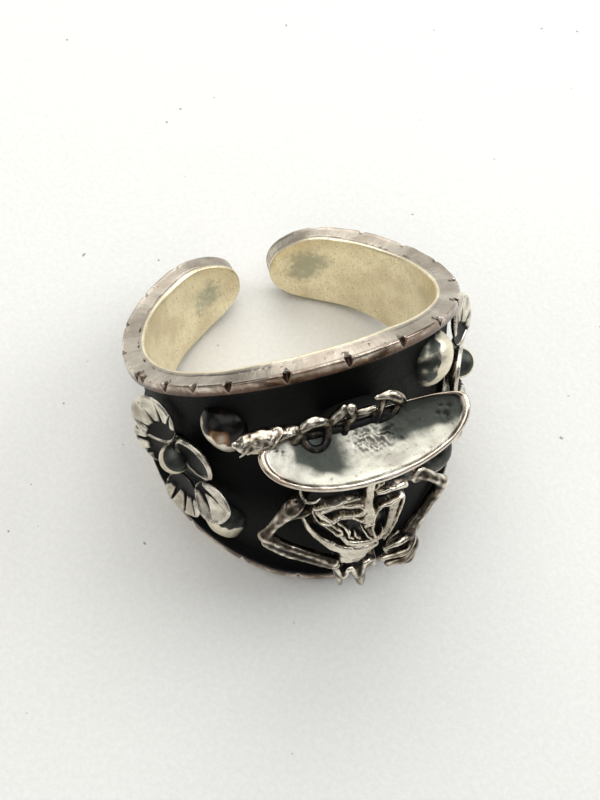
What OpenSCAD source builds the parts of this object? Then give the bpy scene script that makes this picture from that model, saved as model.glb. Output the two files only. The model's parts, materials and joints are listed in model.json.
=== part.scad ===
// Open-backed silver ring with a skeleton bust in a broad hat, two flowers and four domes.
// Millimetres. The ring lies on its side and +Z points up from the surface that it rests on.

/* [Band] */
// Radius of the finger hole
bore_r = 9.2; // [8:0.1:10.5]
// Thickness of the borders, outwards from the finger hole
rim_t = 1.5; // [1.3:0.1:2]
// Height of the band at the front
front_h = 20.8; // [18:0.2:22]
// Height of the band where it nears the back
back_h = 6; // [5:0.2:8]
// Angle that the gap at the back spans, in degrees
gap_deg = 14; // [10:2:30]
// Length of the rounding at each end
end_len = 5; // [3:0.5:7]
// Height of each border
border_h = 0.8; // [0.6:0.1:1]
// Depth of the dark field below the borders
field_depth = 0.75; // [0.5:0.05:0.85]
// Depth of a filed notch
notch_depth = 0.55; // [0.2:0.05:0.6]

/* [Skeleton] */
// Half width of the skull
skull_w = 3; // [2.6:0.1:3.4]
// Tilt of the head towards its own left, in degrees
head_roll = 14; // [0:1:20]
// Radius of an arm bone
bone_r = 0.36; // [0.3:0.02:0.45]

/* [Hat] */
// Half width of the brim
brim_a = 6; // [5:0.1:6.2]
// Depth of the brim before its middle
brim_b = 2.8; // [2.4:0.05:3]
// Depth of the brim behind its middle
brim_back = 1.15; // [1:0.05:1.3]
// Slope of the brim down to the front, in degrees
brim_slope = 30; // [20:1:40]
// Thickness of the brim
brim_t = 0.5; // [0.4:0.05:0.7]
// Rise of the brim at its two sides
brim_curl = 0.85; // [0:0.05:1.2]

/* [Flowers] */
// Size of the flowers, as a share of the measured one
flower_size = 1; // [0.9:0.02:1.05]
// Half length of a petal
petal_l = 1.7; // [1.5:0.05:1.8]
// Half width of a petal
petal_w = 1.55; // [1.4:0.05:1.65]
// Thickness of a petal
petal_t = 0.4; // [0.3:0.05:0.5]
// Radius of the bead in the middle
bead_r = 1; // [0.7:0.1:1.1]

/* [Domes] */
// Half width of a dome
dome_w = 1.5; // [1.4:0.05:1.7]
// Half length of a dome
dome_l = 2.1; // [1.8:0.05:2.2]

/* [Hidden] */

silver = [0.82, 0.8, 0.76];
bright_silver = [0.88, 0.87, 0.84];
dark_silver = [0.25, 0.25, 0.26];

// The band: radii, rounding, and the angles from the front at which its sections are taken.
rim_r = bore_r + rim_t;
field_r = rim_r - field_depth;
edge_c = 0.12;
slope_w = 0.15;
end_deg = 180 - gap_deg / 2;
end_power = 2.2;
step_deg = 2;
last_deg = end_deg - 1;
sections = [for (a = [-last_deg : step_deg : last_deg]) a];
deg_mm = PI / 180 * bore_r;

// Each row of a notch table: angle from the front, depth. Every notch falls on a section.
function on_section(a) = -last_deg + step_deg * round((a + last_deg) / step_deg);
top_pitch = 18.7;
low_pitch = 20.5;
small_notch = 0.6;
top_notches = concat(
    [for (n = [[-74, 1], [-70, small_notch], [-58, 1], [-46, small_notch], [-34, 1]])
        [on_section(n[0]), n[1] * notch_depth]],
    [for (k = [0 : 9]) [on_section(k * top_pitch - 16), notch_depth]],
    [for (k = [1 : 4]) [on_section(-74 - k * top_pitch), notch_depth]]);
low_notches = [for (k = [-7 : 7]) [on_section(k * low_pitch), notch_depth]];

// Clear seat between the band and what is soldered on it.
seat = 0.03;
wall_r = field_r + seat;

function full_h(a) = back_h + (front_h - back_h) * pow((1 + cos(a)) / 2, 2);
function end_shape(a, inset) =
    let (left = (end_deg - abs(a)) * deg_mm - inset,
        t = min(1, max(0, 1 - left / (end_len - inset))))
    pow(1 - pow(t, end_power), 1 / end_power);
function half_h(a) = full_h(a) / 2 * end_shape(a, 0);
function half_field(a) = (full_h(a) / 2 - border_h - slope_w) * end_shape(a, border_h);
function notch(table, a) = max([for (n = table) n[1] * max(0, 1 - abs(a - n[0]) / step_deg)]);
function chamfer(table, a) = min(edge_c + notch(table, a), 0.3 * half_h(a));

// The ring leans on the inner edge of its front and on the outer edge of its back.
rest_r = rim_r - edge_c;
tilt = min([for (a = [90 : 1 : 172]) atan2(half_h(0) - half_h(a), bore_r - rest_r * cos(a))]);
lift = cos(tilt) * half_h(0) - sin(tilt) * bore_r;

// The origin is under the middle of the box, between the collar's tip and the band's back.
collar_tip = [0, -9.45, 11.95];
tip_r = 0.2;
front_y = -cos(tilt) * collar_tip[2] + sin(tilt) * collar_tip[1] - tip_r;
back_y = max([for (a = sections) -cos(tilt) * rim_r * cos(a) + sin(tilt) * half_h(a)]);
shift_y = -(front_y + back_y) / 2;

// From the ring's own frame, with the finger hole along Z, to the frame in which it lies.
module at_rest() translate([0, shift_y, lift]) rotate([-tilt, 0, 0]) children();

// A place on the wall: X along it, Y towards the top border, Z out of it.
module on_wall(a, z, r) rotate([0, 0, a]) translate([0, -r, z]) rotate([90, 0, 0]) children();
function polar(a, z, r) = [r * sin(a), -r * cos(a), z];

// Everything that lies behind the seat on the wall.
module wall() cylinder(r = wall_r, h = 2 * front_h, center = true, $fn = 120);

// A run of bone or wire. Each row: angle, height, distance from the axis, radius.
module run(rows, sides = 8)
    for (i = [0 : len(rows) - 2])
        hull() for (p = [rows[i], rows[i + 1]]) translate(polar(p[0], p[1], p[2])) sphere(p[3], $fn = sides);

// The same in the frame that it is called in. Each row: x, y, z, radius.
module rod(rows, sides = 8)
    for (i = [0 : len(rows) - 2])
        hull() for (p = [rows[i], rows[i + 1]]) translate([p[0], p[1], p[2]]) sphere(p[3], $fn = sides);

module blob(place, radii, sides = 18) translate(place) scale(radii) sphere(1, $fn = sides);

// A closed plate between two functions of the share of the radius and the angle.
module plate(sides, rings, top, under) {
    n = rings * sides + 1;
    t = function (i, j) i == 0 ? 0 : 1 + (i - 1) * sides + j % sides;
    b = function (i, j) n + t(i, j);
    points = concat(
        [top(0, 0)], [for (i = [1 : rings], j = [0 : sides - 1]) top(i / rings, 360 * j / sides)],
        [under(0, 0)], [for (i = [1 : rings], j = [0 : sides - 1]) under(i / rings, 360 * j / sides)]);
    fans = [for (j = [0 : sides - 1], f = [[0, t(1, j + 1), t(1, j)], [n, b(1, j), b(1, j + 1)]]) f];
    rows = [for (i = [1 : rings - 1], j = [0 : sides - 1], f = [
        [t(i, j), t(i, j + 1), t(i + 1, j + 1)], [t(i, j), t(i + 1, j + 1), t(i + 1, j)],
        [b(i, j + 1), b(i, j), b(i + 1, j)], [b(i, j + 1), b(i + 1, j), b(i + 1, j + 1)]]) f];
    rim = [for (j = [0 : sides - 1], f = [
        [t(rings, j), t(rings, j + 1), b(rings, j + 1)], [t(rings, j), b(rings, j + 1), b(rings, j)]]) f];
    polyhedron(points, concat(fans, rows, rim));
}

// One section of the band at an angle: its outline as points, from inside below to inside above.
function band_section(a) =
    let (h = half_h(a), f = max(0.1 * h, half_field(a)), s = min(slope_w, (h - f) / 3),
        floor_r = half_field(a) > 0.1 ? field_r : rim_r, lo = chamfer(low_notches, a), hi = chamfer(top_notches, a))
    [for (p = [[bore_r - 1, -h], [rim_r - lo, -h], [rim_r, lo - h], [rim_r, -f - s], [floor_r, -f],
        [floor_r, f], [rim_r, f + s], [rim_r, h - hi], [rim_r - hi, h], [bore_r - 1, h]]) polar(a, p[1], p[0])];

// The sections joined in a row. Each end closes on a point in the middle of the wall.
module band_body() {
    rows = [for (a = sections) band_section(a)];
    tips = [for (a = [-end_deg, end_deg]) polar(a, 0, bore_r + rim_t / 2)];
    k = len(rows[0]);
    last = len(rows) - 1;
    sides = [for (i = [0 : last - 1], j = [0 : k - 1], f = [
        [i * k + j, (i + 1) * k + j, (i + 1) * k + (j + 1) % k],
        [i * k + j, (i + 1) * k + (j + 1) % k, i * k + (j + 1) % k]]) f];
    n = (last + 1) * k;
    ends = [for (j = [0 : k - 1], f = [[n, j, (j + 1) % k], [n + 1, last * k + (j + 1) % k, last * k + j]]) f];
    polyhedron(concat([for (row = rows, p = row) p], tips), concat(sides, ends));
}

module band() color(silver) at_rest() difference() {
    band_body();
    cylinder(r = bore_r, h = 2 * front_h, center = true, $fn = 120);
}

// The skull, in a frame between the eyes: X across the face, Y up, Z out.
module skull() {
    teeth = 3;
    difference() {
        union() {
            blob([0, 3.6, 0], [skull_w, 3.6, 2.3], 24);
            blob([0, 0.2, 0.5], [2.5, 2.2, 1.5]);
            rod([[-2.5, 1.2, 0.8, 0.4], [-1.4, 1.7, 1.6, 0.38], [0, 1.5, 1.8, 0.4], [1.4, 1.7, 1.6, 0.38],
                [2.5, 1.2, 0.8, 0.4]]);
            rod([[0, 1.5, 1.7, 0.4], [0, 0.4, 2.2, 0.34]]);
            for (s = [-1, 1]) rod([[2.8 * s, 0.1, 0.2, 0.45], [1.9 * s, -0.3, 1.2, 0.4], [0.8 * s, -0.5, 1.8, 0.36]]);
        }
        for (s = [-1, 1]) blob([1.4 * s, 0.65, 2], [1, 0.6, 0.9], 14);
        blob([0, -0.35, 2.2], [0.42, 0.45, 0.6], 12);
        blob([0, -1.6, 2.4], [1.7, 0.6, 1.3], 14);
    }
    for (i = [-teeth : teeth])
        rod([[0.44 * i, -1, 1.75 - 0.07 * i * i, 0.19], [0.4 * i, -2.2, 1.7 - 0.07 * i * i, 0.19]], 6);
    rod([[-2.8, 0.4, 0, 0.4], [-3, -0.7, 0.1, 0.4], [-2.6, -1.9, 0.6, 0.42], [-1.4, -2.8, 1.25, 0.45],
        [0, -3.1, 1.5, 0.5], [1.4, -2.8, 1.25, 0.45], [2.6, -1.9, 0.6, 0.42], [3, -0.7, 0.1, 0.4],
        [2.8, 0.4, 0, 0.4]]);
    rod([[0, -1.2, 0.3, 1.1], [-0.4, -3.9, 0.5, 1]], 14);
}

module arm_left() {
    run([[-8, -0.6, 10.9, 0.36], [-15, -0.5, 11.6, bone_r], [-20, -0.2, 12, 0.4]]);
    run([[-18, 0.3, 11.8, 0.6], [-22.3, -0.65, 12.1, 0.42], [-27.2, -2, 12.4, 0.42]]);
    run([[-27.2, -2, 12.4, 0.42], [-18, -3.85, 12.2, bone_r], [-8.5, -5.8, 12, 0.4]]);
    run([[-26.5, -2.8, 12.3, bone_r], [-18, -4.5, 12.1, bone_r], [-8, -6.3, 11.9, 0.4]]);
}

// The fingers of the right hand lie along the wall, towards the collar.
fingers = [
    [[16.5, -5.9, 12.1, 0.34], [12.5, -5.75, 12.3, 0.26], [8.2, -6.2, 12, 0.2]],
    [[17.5, -6.5, 12.2, 0.36], [13, -6.85, 12.5, 0.28], [7.3, -7.05, 12.1, 0.22]],
    [[18.5, -7.1, 12.2, 0.36], [14, -7.65, 12.5, 0.28], [8.8, -8, 12.1, 0.24]],
    [[19, -7.7, 12.1, 0.32], [16, -8.5, 12.3, 0.26], [12, -8.6, 12, 0.2]]];
module arm_right() {
    run([[10, -0.8, 10.9, 0.36], [17.5, 0, 11.8, 0.5], [22, -0.5, 12.2, 0.42], [27, -1.8, 12.7, 0.42]]);
    run([[27, -1.8, 12.7, 0.42], [22.8, -3.6, 12.4, bone_r], [18, -5.5, 12.1, 0.5]]);
    run([[26, -2.3, 12.4, 0.3], [21.3, -4, 12.1, bone_r], [16.8, -5.8, 12, 0.45], [18.8, -7.4, 12.1, 0.4]]);
    for (rows = fingers) run(rows, 6);
}

module collar() {
    hull() for (p = [[-7, -6.2, 11, 0.5], [4.3, -5.8, 11, 0.5], [-1, -8, 11.2, 0.5], [-1, -5.6, 11.7, 0.4]])
        translate(polar(p[0], p[1], p[2])) sphere(p[3], $fn = 12);
    run([[-6.5, -6.8, 11.4, 0.5], [-6.8, -8.8, 11.8, tip_r]]);
    run([[-1, -7.4, 11.5, 0.6], [collar_tip[0], collar_tip[1], collar_tip[2], tip_r]]);
    run([[3.5, -6.4, 11.3, 0.45], [5, -7.9, 11.7, tip_r]]);
}

// The part of the figure behind the head, which joins head, arms and collar to the wall.
module chest() hull() {
    on_wall(1, -0.5, field_r) cylinder(r = 2.1, h = 1.6, $fn = 24);
    on_wall(-1, -5.9, field_r) cylinder(r = 1.2, h = 1.5, $fn = 24);
}

module skeleton() color(bright_silver) at_rest() difference() {
    union() {
        on_wall(1.3, -0.9, 11.2) rotate([0, 0, -head_roll]) skull();
        chest();
        arm_left();
        arm_right();
        collar();
    }
    wall();
    boss(seat);
    brim_place() translate([0, 0, front_h / 2 - brim_t / 2 - seat]) cube(front_h, center = true);
}

// The brim's middle, with X across it and Y up its slope to the back.
module brim_place() translate([0.48, -12.1, 5.93]) rotate([brim_slope, 0, 0]) children();
function brim_z(u, t) = brim_curl * pow(u * cos(t), 2) + 0.3 * pow(u, 4);
function brim_point(u, t, h, gap = 0) =
    [(brim_a + gap) * u * cos(t),
        sin(t) < 0 ? (brim_b + gap) * u * sin(t) : (brim_back + gap) * u * pow(sin(t), 0.35),
        brim_z(u, t) + h * (gap + brim_t / 2 * (1 - 0.5 * pow(u, 6)))];
module brim(gap = 0) brim_place()
    plate(44, 5, function (u, t) brim_point(u, t, 1, gap), function (u, t) brim_point(u, t, -1, gap));

// The low crown behind the brim's middle, which carries the hat on the wall.
module boss(gap = 0) hull() blob([0.6, -10.7, 6.15], [2.3 + gap, 1.1 + gap, 0.6 + gap]);

module hat() color(bright_silver) at_rest() difference() {
    union() {
        brim();
        boss();
    }
    wall();
}

// The upright plane that the trim stands in: X along the hat, Y up, Z out.
module trim_place() translate([0, -11.7, 7.05]) rotate([80, 0, 0]) children();

// An open loop, thicker at its top.
loop_at = [-2.12, -0.02];
loop_size = [0.76, 0.72];
module loop() rod([for (t = [-90 : 30 : 270])
    [loop_at[0] + loop_size[0] * cos(t), loop_at[1] + loop_size[1] * sin(t), 0, 0.14 + 0.23 * max(0, sin(t))]], 6);

// The wires of the trim, right of the loop. Each row: x, y, z, radius.
wires = [
    [[-0.5, -0.83, 0, 0.18], [-0.22, -0.2, 0.05, 0.15], [0.08, 0.3, 0.1, 0.19], [0.02, 0.9, 0.1, 0.3]],
    [[-1.3, -0.05, -0.15, 0.2], [-0.75, 0.42, -0.08, 0.22], [-0.25, 0.8, -0.05, 0.22]],
    [[0.1, 0.22, 0, 0.15], [0.95, 0.28, 0, 0.18], [1.3, 0.3, 0, 0.17], [1.38, -0.15, -0.05, 0.16],
        [1.2, -0.6, -0.1, 0.17]],
    [[1.45, -0.6, 0, 0.16], [1.75, 0.05, 0, 0.15], [2, 0.95, 0.1, 0.21]],
    [[1.55, 1.05, 0.1, 0.12], [2.2, 1.02, 0.15, 0.24], [2.75, 0.55, 0.12, 0.26], [2.9, 0.2, 0.1, 0.18],
        [2.62, -0.15, 0.05, 0.15], [2.2, -0.55, 0, 0.15], [1.6, -0.7, 0, 0.15]],
    [[-3.2, -0.2, -0.15, 0.25], [-1.5, -0.5, -0.2, 0.2], [0.5, -0.6, -0.2, 0.2], [2.6, -0.45, -0.2, 0.2]],
    [[-3.3, -0.3, -0.1, 0.3], [-2.8, 0.1, -0.1, 0.3]]];

module feather() {
    rod([[-6.45, 0.7, 0.1, 0.2], [-6.15, 0.62, 0.1, 0.48], [-5.4, 0.5, 0.1, 0.66], [-4.6, 0.48, 0.05, 0.62],
        [-3.9, 0.45, 0, 0.48], [-2.8, 0.3, -0.1, 0.26]]);
    for (i = [0 : 2]) rod([[-5.8 + 0.8 * i, 0.2, 0.5, 0.16], [-5.2 + 0.8 * i, 0.75, 0.62, 0.14]], 6);
}

module hat_trim() color(bright_silver) at_rest() difference() {
    trim_place() {
        loop();
        for (rows = wires) rod(rows, 6);
        feather();
    }
    brim(seat);
    boss(seat);
}

// One petal lies along X from the middle of its flower, turns up at its rim and has cut grooves.
petal_sides = 16;
groove_r = 0.11;
function petal_z(x, y) = 0.16 * pow(y, 2) + 0.1 * pow(x, 2) + 0.12 * x;
function petal_point(u, t, h) =
    let (x = petal_l * u * cos(t), y = petal_w * u * sin(t) * (1 + 0.12 * cos(t)))
    [x, y, petal_z(x, y) + h * petal_t / 2 * (1 - 0.55 * pow(u, 4))];
module petal() difference() {
    plate(petal_sides, 3, function (u, t) petal_point(u, t, 1), function (u, t) petal_point(u, t, -1));
    for (k = [-1, 1])
        rod([for (x = [-1.1, 0.3]) let (y = k * (0.35 - 0.15 * x)) [x, y, petal_z(x, y) + petal_t / 2, groove_r]], 6);
}

// A flower in the tangent plane of the wall, on a foot. Each row of the table is one petal:
// its direction, its distance from the middle, how far it stands out, and its lean along and across.
flower_a = 58.5;
flower_gap = 0.6;
petal_rows = [[49, 2.35, 0, 0, 0], [120, 3.4, -0.1, -11, 13.5], [182, 2.45, -0.25, 0, 0],
    [267, 2.9, 0.25, 3, 3], [325, 3.05, 0.2, 0, -16.5]];
bead_at = [-0.3, 0.5, 0.3];
module flower(z) difference() {
    on_wall(-flower_a, z, field_r + flower_gap) scale(flower_size) {
        for (row = petal_rows)
            rotate([0, 0, row[0]]) translate([row[1], 0, row[2]]) rotate([row[4], -row[3], 0]) petal();
        translate([0, 0, -1.2]) cylinder(r = 1.9, h = 1.45, $fn = 24);
        translate(bead_at) sphere(bead_r, $fn = 20);
    }
    wall();
}

module flower_left() color(silver) at_rest() flower(0.15);
module flower_right() color(silver) at_rest() mirror([1, 0, 0]) flower(1.1);

// A pear turned round its long axis, with its point up, sunk in the wall.
// Side is -1 left and 1 right, then the angle and the height of the middle.
function pear(t) = [dome_w / 0.825 * sin(t) * pow(sin(t / 2), 0.7), -dome_l * cos(t)];
dome_sink = 0.3;
module dome(side, a, z)
    color(dark_silver) at_rest() difference() {
        on_wall(side * a, z, wall_r - dome_sink)
            rotate([90, 0, 0]) rotate_extrude($fn = 48) polygon([for (t = [0 : 15 : 180]) pear(t)]);
        wall();
    }

module dome_upper_left() dome(-1, 39.5, 4.3);
module dome_upper_right() dome(1, 40, 4.9);
module dome_lower_left() dome(-1, 47, -5.3);
module dome_lower_right() dome(1, 46, -5);

band();
skeleton();
hat();
hat_trim();
flower_left();
flower_right();
dome_upper_left();
dome_upper_right();
dome_lower_left();
dome_lower_right();
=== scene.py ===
"""Looks of an open-backed silver ring with a skeleton bust in a broad hat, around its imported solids."""
import json
import math

import bpy
import numpy as np
from mathutils import Matrix, Vector


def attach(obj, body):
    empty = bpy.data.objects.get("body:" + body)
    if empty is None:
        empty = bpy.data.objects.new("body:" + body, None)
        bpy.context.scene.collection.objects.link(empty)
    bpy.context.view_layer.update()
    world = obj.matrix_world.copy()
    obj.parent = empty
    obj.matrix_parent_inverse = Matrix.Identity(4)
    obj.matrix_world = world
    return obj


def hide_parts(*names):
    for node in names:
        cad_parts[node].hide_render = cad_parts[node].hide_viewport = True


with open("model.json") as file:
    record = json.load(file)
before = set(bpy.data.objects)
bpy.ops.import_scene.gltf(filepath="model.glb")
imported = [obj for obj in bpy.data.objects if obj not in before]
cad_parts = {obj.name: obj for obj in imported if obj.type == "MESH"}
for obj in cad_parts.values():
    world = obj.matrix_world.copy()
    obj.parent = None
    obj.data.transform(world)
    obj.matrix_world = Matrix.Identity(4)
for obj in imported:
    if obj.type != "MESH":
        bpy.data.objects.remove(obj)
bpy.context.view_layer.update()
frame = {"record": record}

# Sizes in millimetres. The ring frame has the finger hole along Z and the figure towards -Y.
MM = 0.001
HOLE = frame["record"]["mounts"][0]
CENTRE = np.array(HOLE["pos_m"]) / MM
LEAN = math.asin(HOLE["axis"][1])
BORE_R = HOLE["dims"]["r_mm"]
RIM_R = 10.7
FIELD_R = 9.95
FRONT_H = 20.8
BACK_H = 6.0
END_ANGLE = math.radians(173)
END_LEN = 5.0
END_POWER = 2.2
BORDER_H = 0.8
SLOPE_W = 0.15
ROUND_IN = 0.16
ROUND_OUT = 0.14
NOTCH_DEPTH = 0.44
SEAT_R = 9.75
# A bar's domed ends: latitudes of their rows, in radians. The least radius of a bar.
CAP = np.radians([8, 26, 44, 62, 78])
MIN_R = 0.03
# The rows of a ball and of a plate start just beside their middles.
LAST_LATITUDE = 89
FIRST_SHARE = 0.02


# Plain maths on whole arrays.

def ease(x, low, high):
    """0 below low, 1 above high, and a smooth step between them."""
    t = np.clip((x - low) / (high - low), 0, 1)
    return t * t * (3 - 2 * t)


def waves(points, size, seed, count=14):
    """Soft random field: a sum of sine waves in random directions with lengths near size, about -1 to 1."""
    rng = np.random.default_rng(seed)
    total = np.zeros(points.shape[:-1])
    for _ in range(count):
        way = rng.normal(size=3)
        way *= 2 * math.pi / (size * rng.uniform(0.6, 1.7)) / np.linalg.norm(way)
        total += np.sin(points @ way + rng.uniform(0, 2 * math.pi))
    return total / math.sqrt(count)


def unit(v):
    """Vectors divided by their lengths."""
    return v / np.maximum(np.linalg.norm(v, axis=-1, keepdims=True), 1e-12)


def xyz(x, y, z):
    """Three arrays whose shapes fit together, as points."""
    return np.stack(np.broadcast_arrays(x, y, z), -1)


def spun(x, y, degrees):
    """A place turned from X towards Y by an angle in degrees."""
    c, s = math.cos(math.radians(degrees)), math.sin(math.radians(degrees))
    return c * x - s * y, s * x + c * y


def tipped(points, angle):
    """Points turned about X, from Y towards Z, by an angle in radians."""
    x, y, z = points[..., 0], points[..., 1], points[..., 2]
    c, s = math.cos(angle), math.sin(angle)
    return xyz(x, c * y - s * z, s * y + c * z)


def polar(angle, z, r):
    """Angles from the front in radians, heights and distances from the axis, as points of the ring frame."""
    return xyz(r * np.sin(angle), -r * np.cos(angle), z)


def lie_down(points):
    """From the ring frame to the frame in which the ring lies: a turn about X, then the centre's place."""
    return tipped(points, -LEAN) + CENTRE


def from_axis(points):
    """Distance of each point from the axis of the finger hole."""
    return np.hypot(points[..., 0], points[..., 1])


def seated(points):
    """Points behind the wall's surface are drawn out to just below it, so that nothing shows in the hole."""
    out = points.copy()
    out[..., :2] *= np.maximum(1, SEAT_R / np.maximum(from_axis(points), 1e-6))[..., None]
    return out


def on_wall(points, angle, z, r, roll=0.0):
    """From a place on the wall, with X along it, Y up and Z out, to the ring frame. Angles in degrees."""
    along, up = spun(points[..., 0], points[..., 1], roll)
    x, y = spun(along, -(r + points[..., 2]), angle)
    return xyz(x, y, z + up)


# Surfaces of two parameters, as grids of points: rows go along, columns go once round.

def ball(centre, radii, rows=20, sides=32):
    """A ball: rows are latitudes and columns are longitudes, each axis with its own radius."""
    lat = np.linspace(-LAST_LATITUDE, LAST_LATITUDE, rows)[:, None] * math.pi / 180
    lon = np.linspace(0, 2 * math.pi, sides, endpoint=False)[None, :]
    unit_ball = xyz(np.cos(lat) * np.cos(lon), np.cos(lat) * np.sin(lon), np.sin(lat))
    return unit_ball * np.array(radii) + np.array(centre)


def through(rows, steps):
    """A smooth curve through the rows: between two rows, the cubic whose slopes are half the step between
    their neighbours. All columns of the table are carried along."""
    p = np.asarray(rows, float)
    if len(p) == 2:
        return p[0] + (p[1] - p[0]) * np.linspace(0, 1, steps)[:, None]
    ends = np.vstack([2 * p[0] - p[1], p, 2 * p[-1] - p[-2]])
    t = np.linspace(0, len(p) - 1 - 1e-9, steps)
    i = t.astype(int)
    t = (t - i)[:, None]
    a, b, c, d = ends[i], ends[i + 1], ends[i + 2], ends[i + 3]
    square, cube = 2 * a - 5 * b + 4 * c - d, 3 * b - a - 3 * c + d
    return 0.5 * (2 * b + (c - a) * t + square * t ** 2 + cube * t ** 3)


def bar(rows, up=(0, 0, 1), sides=14, step=0.09, ridge=0.0):
    """A round bar along a smooth curve. Each row: x, y, z, radius. A section is a circle at right angles to
    the curve, with a ridge on its outer side. Both ends are domed."""
    p = np.asarray(rows, float)
    length = np.linalg.norm(np.diff(p[:, :3], axis=0), axis=1).sum()
    c = through(p, max(6, int(length / step)))
    centre, radius = c[:, :3], np.maximum(c[:, 3], MIN_R)
    along = unit(np.gradient(centre, axis=0))
    first = centre[0] - along[0] * radius[0] * np.cos(CAP)[:, None]
    last = centre[-1] + along[-1] * radius[-1] * np.cos(CAP[::-1])[:, None]
    centre = np.vstack([first, centre, last])
    radius = np.concatenate([radius[0] * np.sin(CAP), radius, radius[-1] * np.sin(CAP[::-1])])
    along = np.vstack([np.repeat(along[:1], len(CAP), 0), along, np.repeat(along[-1:], len(CAP), 0)])
    high = unit(np.array(up) - (along @ np.array(up, float))[:, None] * along)
    side = np.cross(along, high)
    t = np.linspace(0, 2 * math.pi, sides, endpoint=False)
    rise = np.sin(t) * (1 + ridge * np.clip(np.sin(t), 0, 1) ** 6)
    section = np.cos(t)[None, :, None] * side[:, None] + rise[None, :, None] * high[:, None]
    return centre[:, None] + radius[:, None, None] * section


def plate(top, under, rings, sides):
    """A closed plate. top and under give points for a share of the radius and an angle."""
    u = np.linspace(FIRST_SHARE, 1, rings)
    t = np.linspace(0, 2 * math.pi, sides, endpoint=False)
    return np.concatenate([top(u[:, None], t[None, :]), under(u[::-1][:, None], t[None, :])])


class Casting:
    """Closed surfaces in millimetres that become one piece."""

    def __init__(self):
        self.points, self.quads, self.fans, self.soot, self.part, self.flat = [], [], [], [], [], []
        self.count = 0

    def add(self, grid, soot=0.0, part=0, lengths=None):
        """grid[i, j] is a point. Columns wrap, and each end closes on the middle of its row. part is the
        material's number, as one number or as an array for the quads. lengths are the flat coordinates of
        rows and columns."""
        rows, cols = grid.shape[:2]
        i, j = np.meshgrid(np.arange(rows - 1), np.arange(cols), indexing="ij")
        k = (j + 1) % cols
        here, above = i * cols, (i + 1) * cols
        quads = np.stack([here + j, here + k, above + k, above + j], -1).reshape(-1, 4)
        n = rows * cols
        ring = np.arange(cols)
        after = (ring + 1) % cols
        fans = np.concatenate([np.stack([after, ring, np.full(cols, n)], -1),
                               np.stack([n - cols + ring, n - cols + after, np.full(cols, n + 1)], -1)])
        points = np.vstack([grid.reshape(-1, 3), grid[0].mean(0), grid[-1].mean(0)])
        a, b, c, d = (points[quads[:, q]] for q in range(4))
        volume = (np.cross(b - a, c - a) * a).sum() + (np.cross(c - a, d - a) * a).sum()
        along, round_ = lengths if lengths is not None else (np.arange(rows), np.arange(cols + 1))
        flat = np.stack([np.stack([along[p], round_[q]], -1)
                         for p, q in ((i, j), (i, j + 1), (i + 1, j + 1), (i + 1, j))], 2).reshape(-1, 4, 2)
        if volume < 0:
            quads, fans, flat = quads[:, ::-1], fans[:, ::-1], flat[:, ::-1]
        level = np.broadcast_to(np.asarray(soot, float), (rows, cols)).reshape(-1)
        self.points.append(points)
        self.soot.append(np.concatenate([level, level[:1], level[-1:]]))
        self.quads.append(quads + self.count)
        self.fans.append(fans + self.count)
        self.flat.append(flat)
        self.part.append(np.broadcast_to(np.asarray(part), (rows - 1, cols)).reshape(-1))
        self.count += len(points)
        return self


def neighbour_mean(faces, count):
    """A function that gives, for count points, the mean of each one's neighbours along the faces' edges."""
    start, end = faces.reshape(-1), np.roll(faces, -1, axis=1).reshape(-1)
    a, b = np.concatenate([start, end]), np.concatenate([end, start])
    share = np.maximum(np.bincount(a, minlength=count), 1)
    return lambda points: np.stack([np.bincount(a, points[b, axis], count) / share for axis in range(3)], -1)


def hollow(points, faces, rounds):
    """How deep each point lies in a recess, in millimetres: the distance, along its normal, to where it is
    after some rounds of moving every point to the mean of its neighbours. Negative on ridges."""
    corners = faces.shape[1]
    face = np.cross(points[faces[:, 1]] - points[faces[:, 0]], points[faces[:, -1]] - points[faces[:, 0]])
    normal = unit(np.stack([np.bincount(faces.reshape(-1), np.repeat(face[:, axis], corners), len(points))
                            for axis in range(3)], -1))
    mean = neighbour_mean(faces, len(points))
    moved = points
    for _ in range(rounds):
        moved = mean(moved)
    return ((moved - points) * normal).sum(-1)


def averaged(points, faces, rounds=2, pull=0.5):
    """Every point moves part of the way to its neighbours' mean, and back out again by a little less."""
    mean = neighbour_mean(faces, len(points))
    for _ in range(rounds):
        for step in (pull, -pull * 0.9):
            points = points + step * (mean(points) - points)
    return points


def put(name, data):
    """An object of this name in the scene."""
    made = bpy.data.objects.new(name, data)
    bpy.context.scene.collection.objects.link(made)
    return made


def new_mesh(name, points, faces, soot, parts=None, flat=None):
    """A mesh in metres, in the frame in which the ring lies, from arrays in the ring frame."""
    mesh = bpy.data.meshes.new(name)
    quads, fans = faces
    mesh.vertices.add(len(points))
    mesh.vertices.foreach_set("co", (lie_down(points) * MM).astype(np.float32).reshape(-1))
    loops = np.concatenate([quads.reshape(-1), fans.reshape(-1)])
    mesh.loops.add(len(loops))
    mesh.loops.foreach_set("vertex_index", loops.astype(np.int32))
    starts = np.concatenate([np.arange(len(quads)) * 4, len(quads) * 4 + np.arange(len(fans)) * 3])
    mesh.polygons.add(len(starts))
    mesh.polygons.foreach_set("loop_start", starts.astype(np.int32))
    if parts is not None:
        mesh.polygons.foreach_set("material_index", parts.astype(np.int32))
    # Soot, with painted light in it: painted dark reflection on the hat's brim, and bare silver painted on
    # the domes and the bead where the floor's reflection falls.
    level = mesh.attributes.new("soot", "FLOAT", "POINT")
    level.data.foreach_set("value", soot.astype(np.float32))
    if flat is not None:
        uv = mesh.uv_layers.new(name="flat")
        uv.data.foreach_set("uv", flat.astype(np.float32).reshape(-1))
    mesh.update(calc_edges=True)
    mesh.validate()
    mesh.polygons.foreach_set("use_smooth", np.ones(len(mesh.polygons), bool))
    return mesh


def show(mesh, node, materials):
    """The mesh as a piece that stands for a node of the frame."""
    piece = put(node + "_cast", mesh)
    for material in materials:
        piece.data.materials.append(material)
    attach(piece, "root")
    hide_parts(node)


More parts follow.
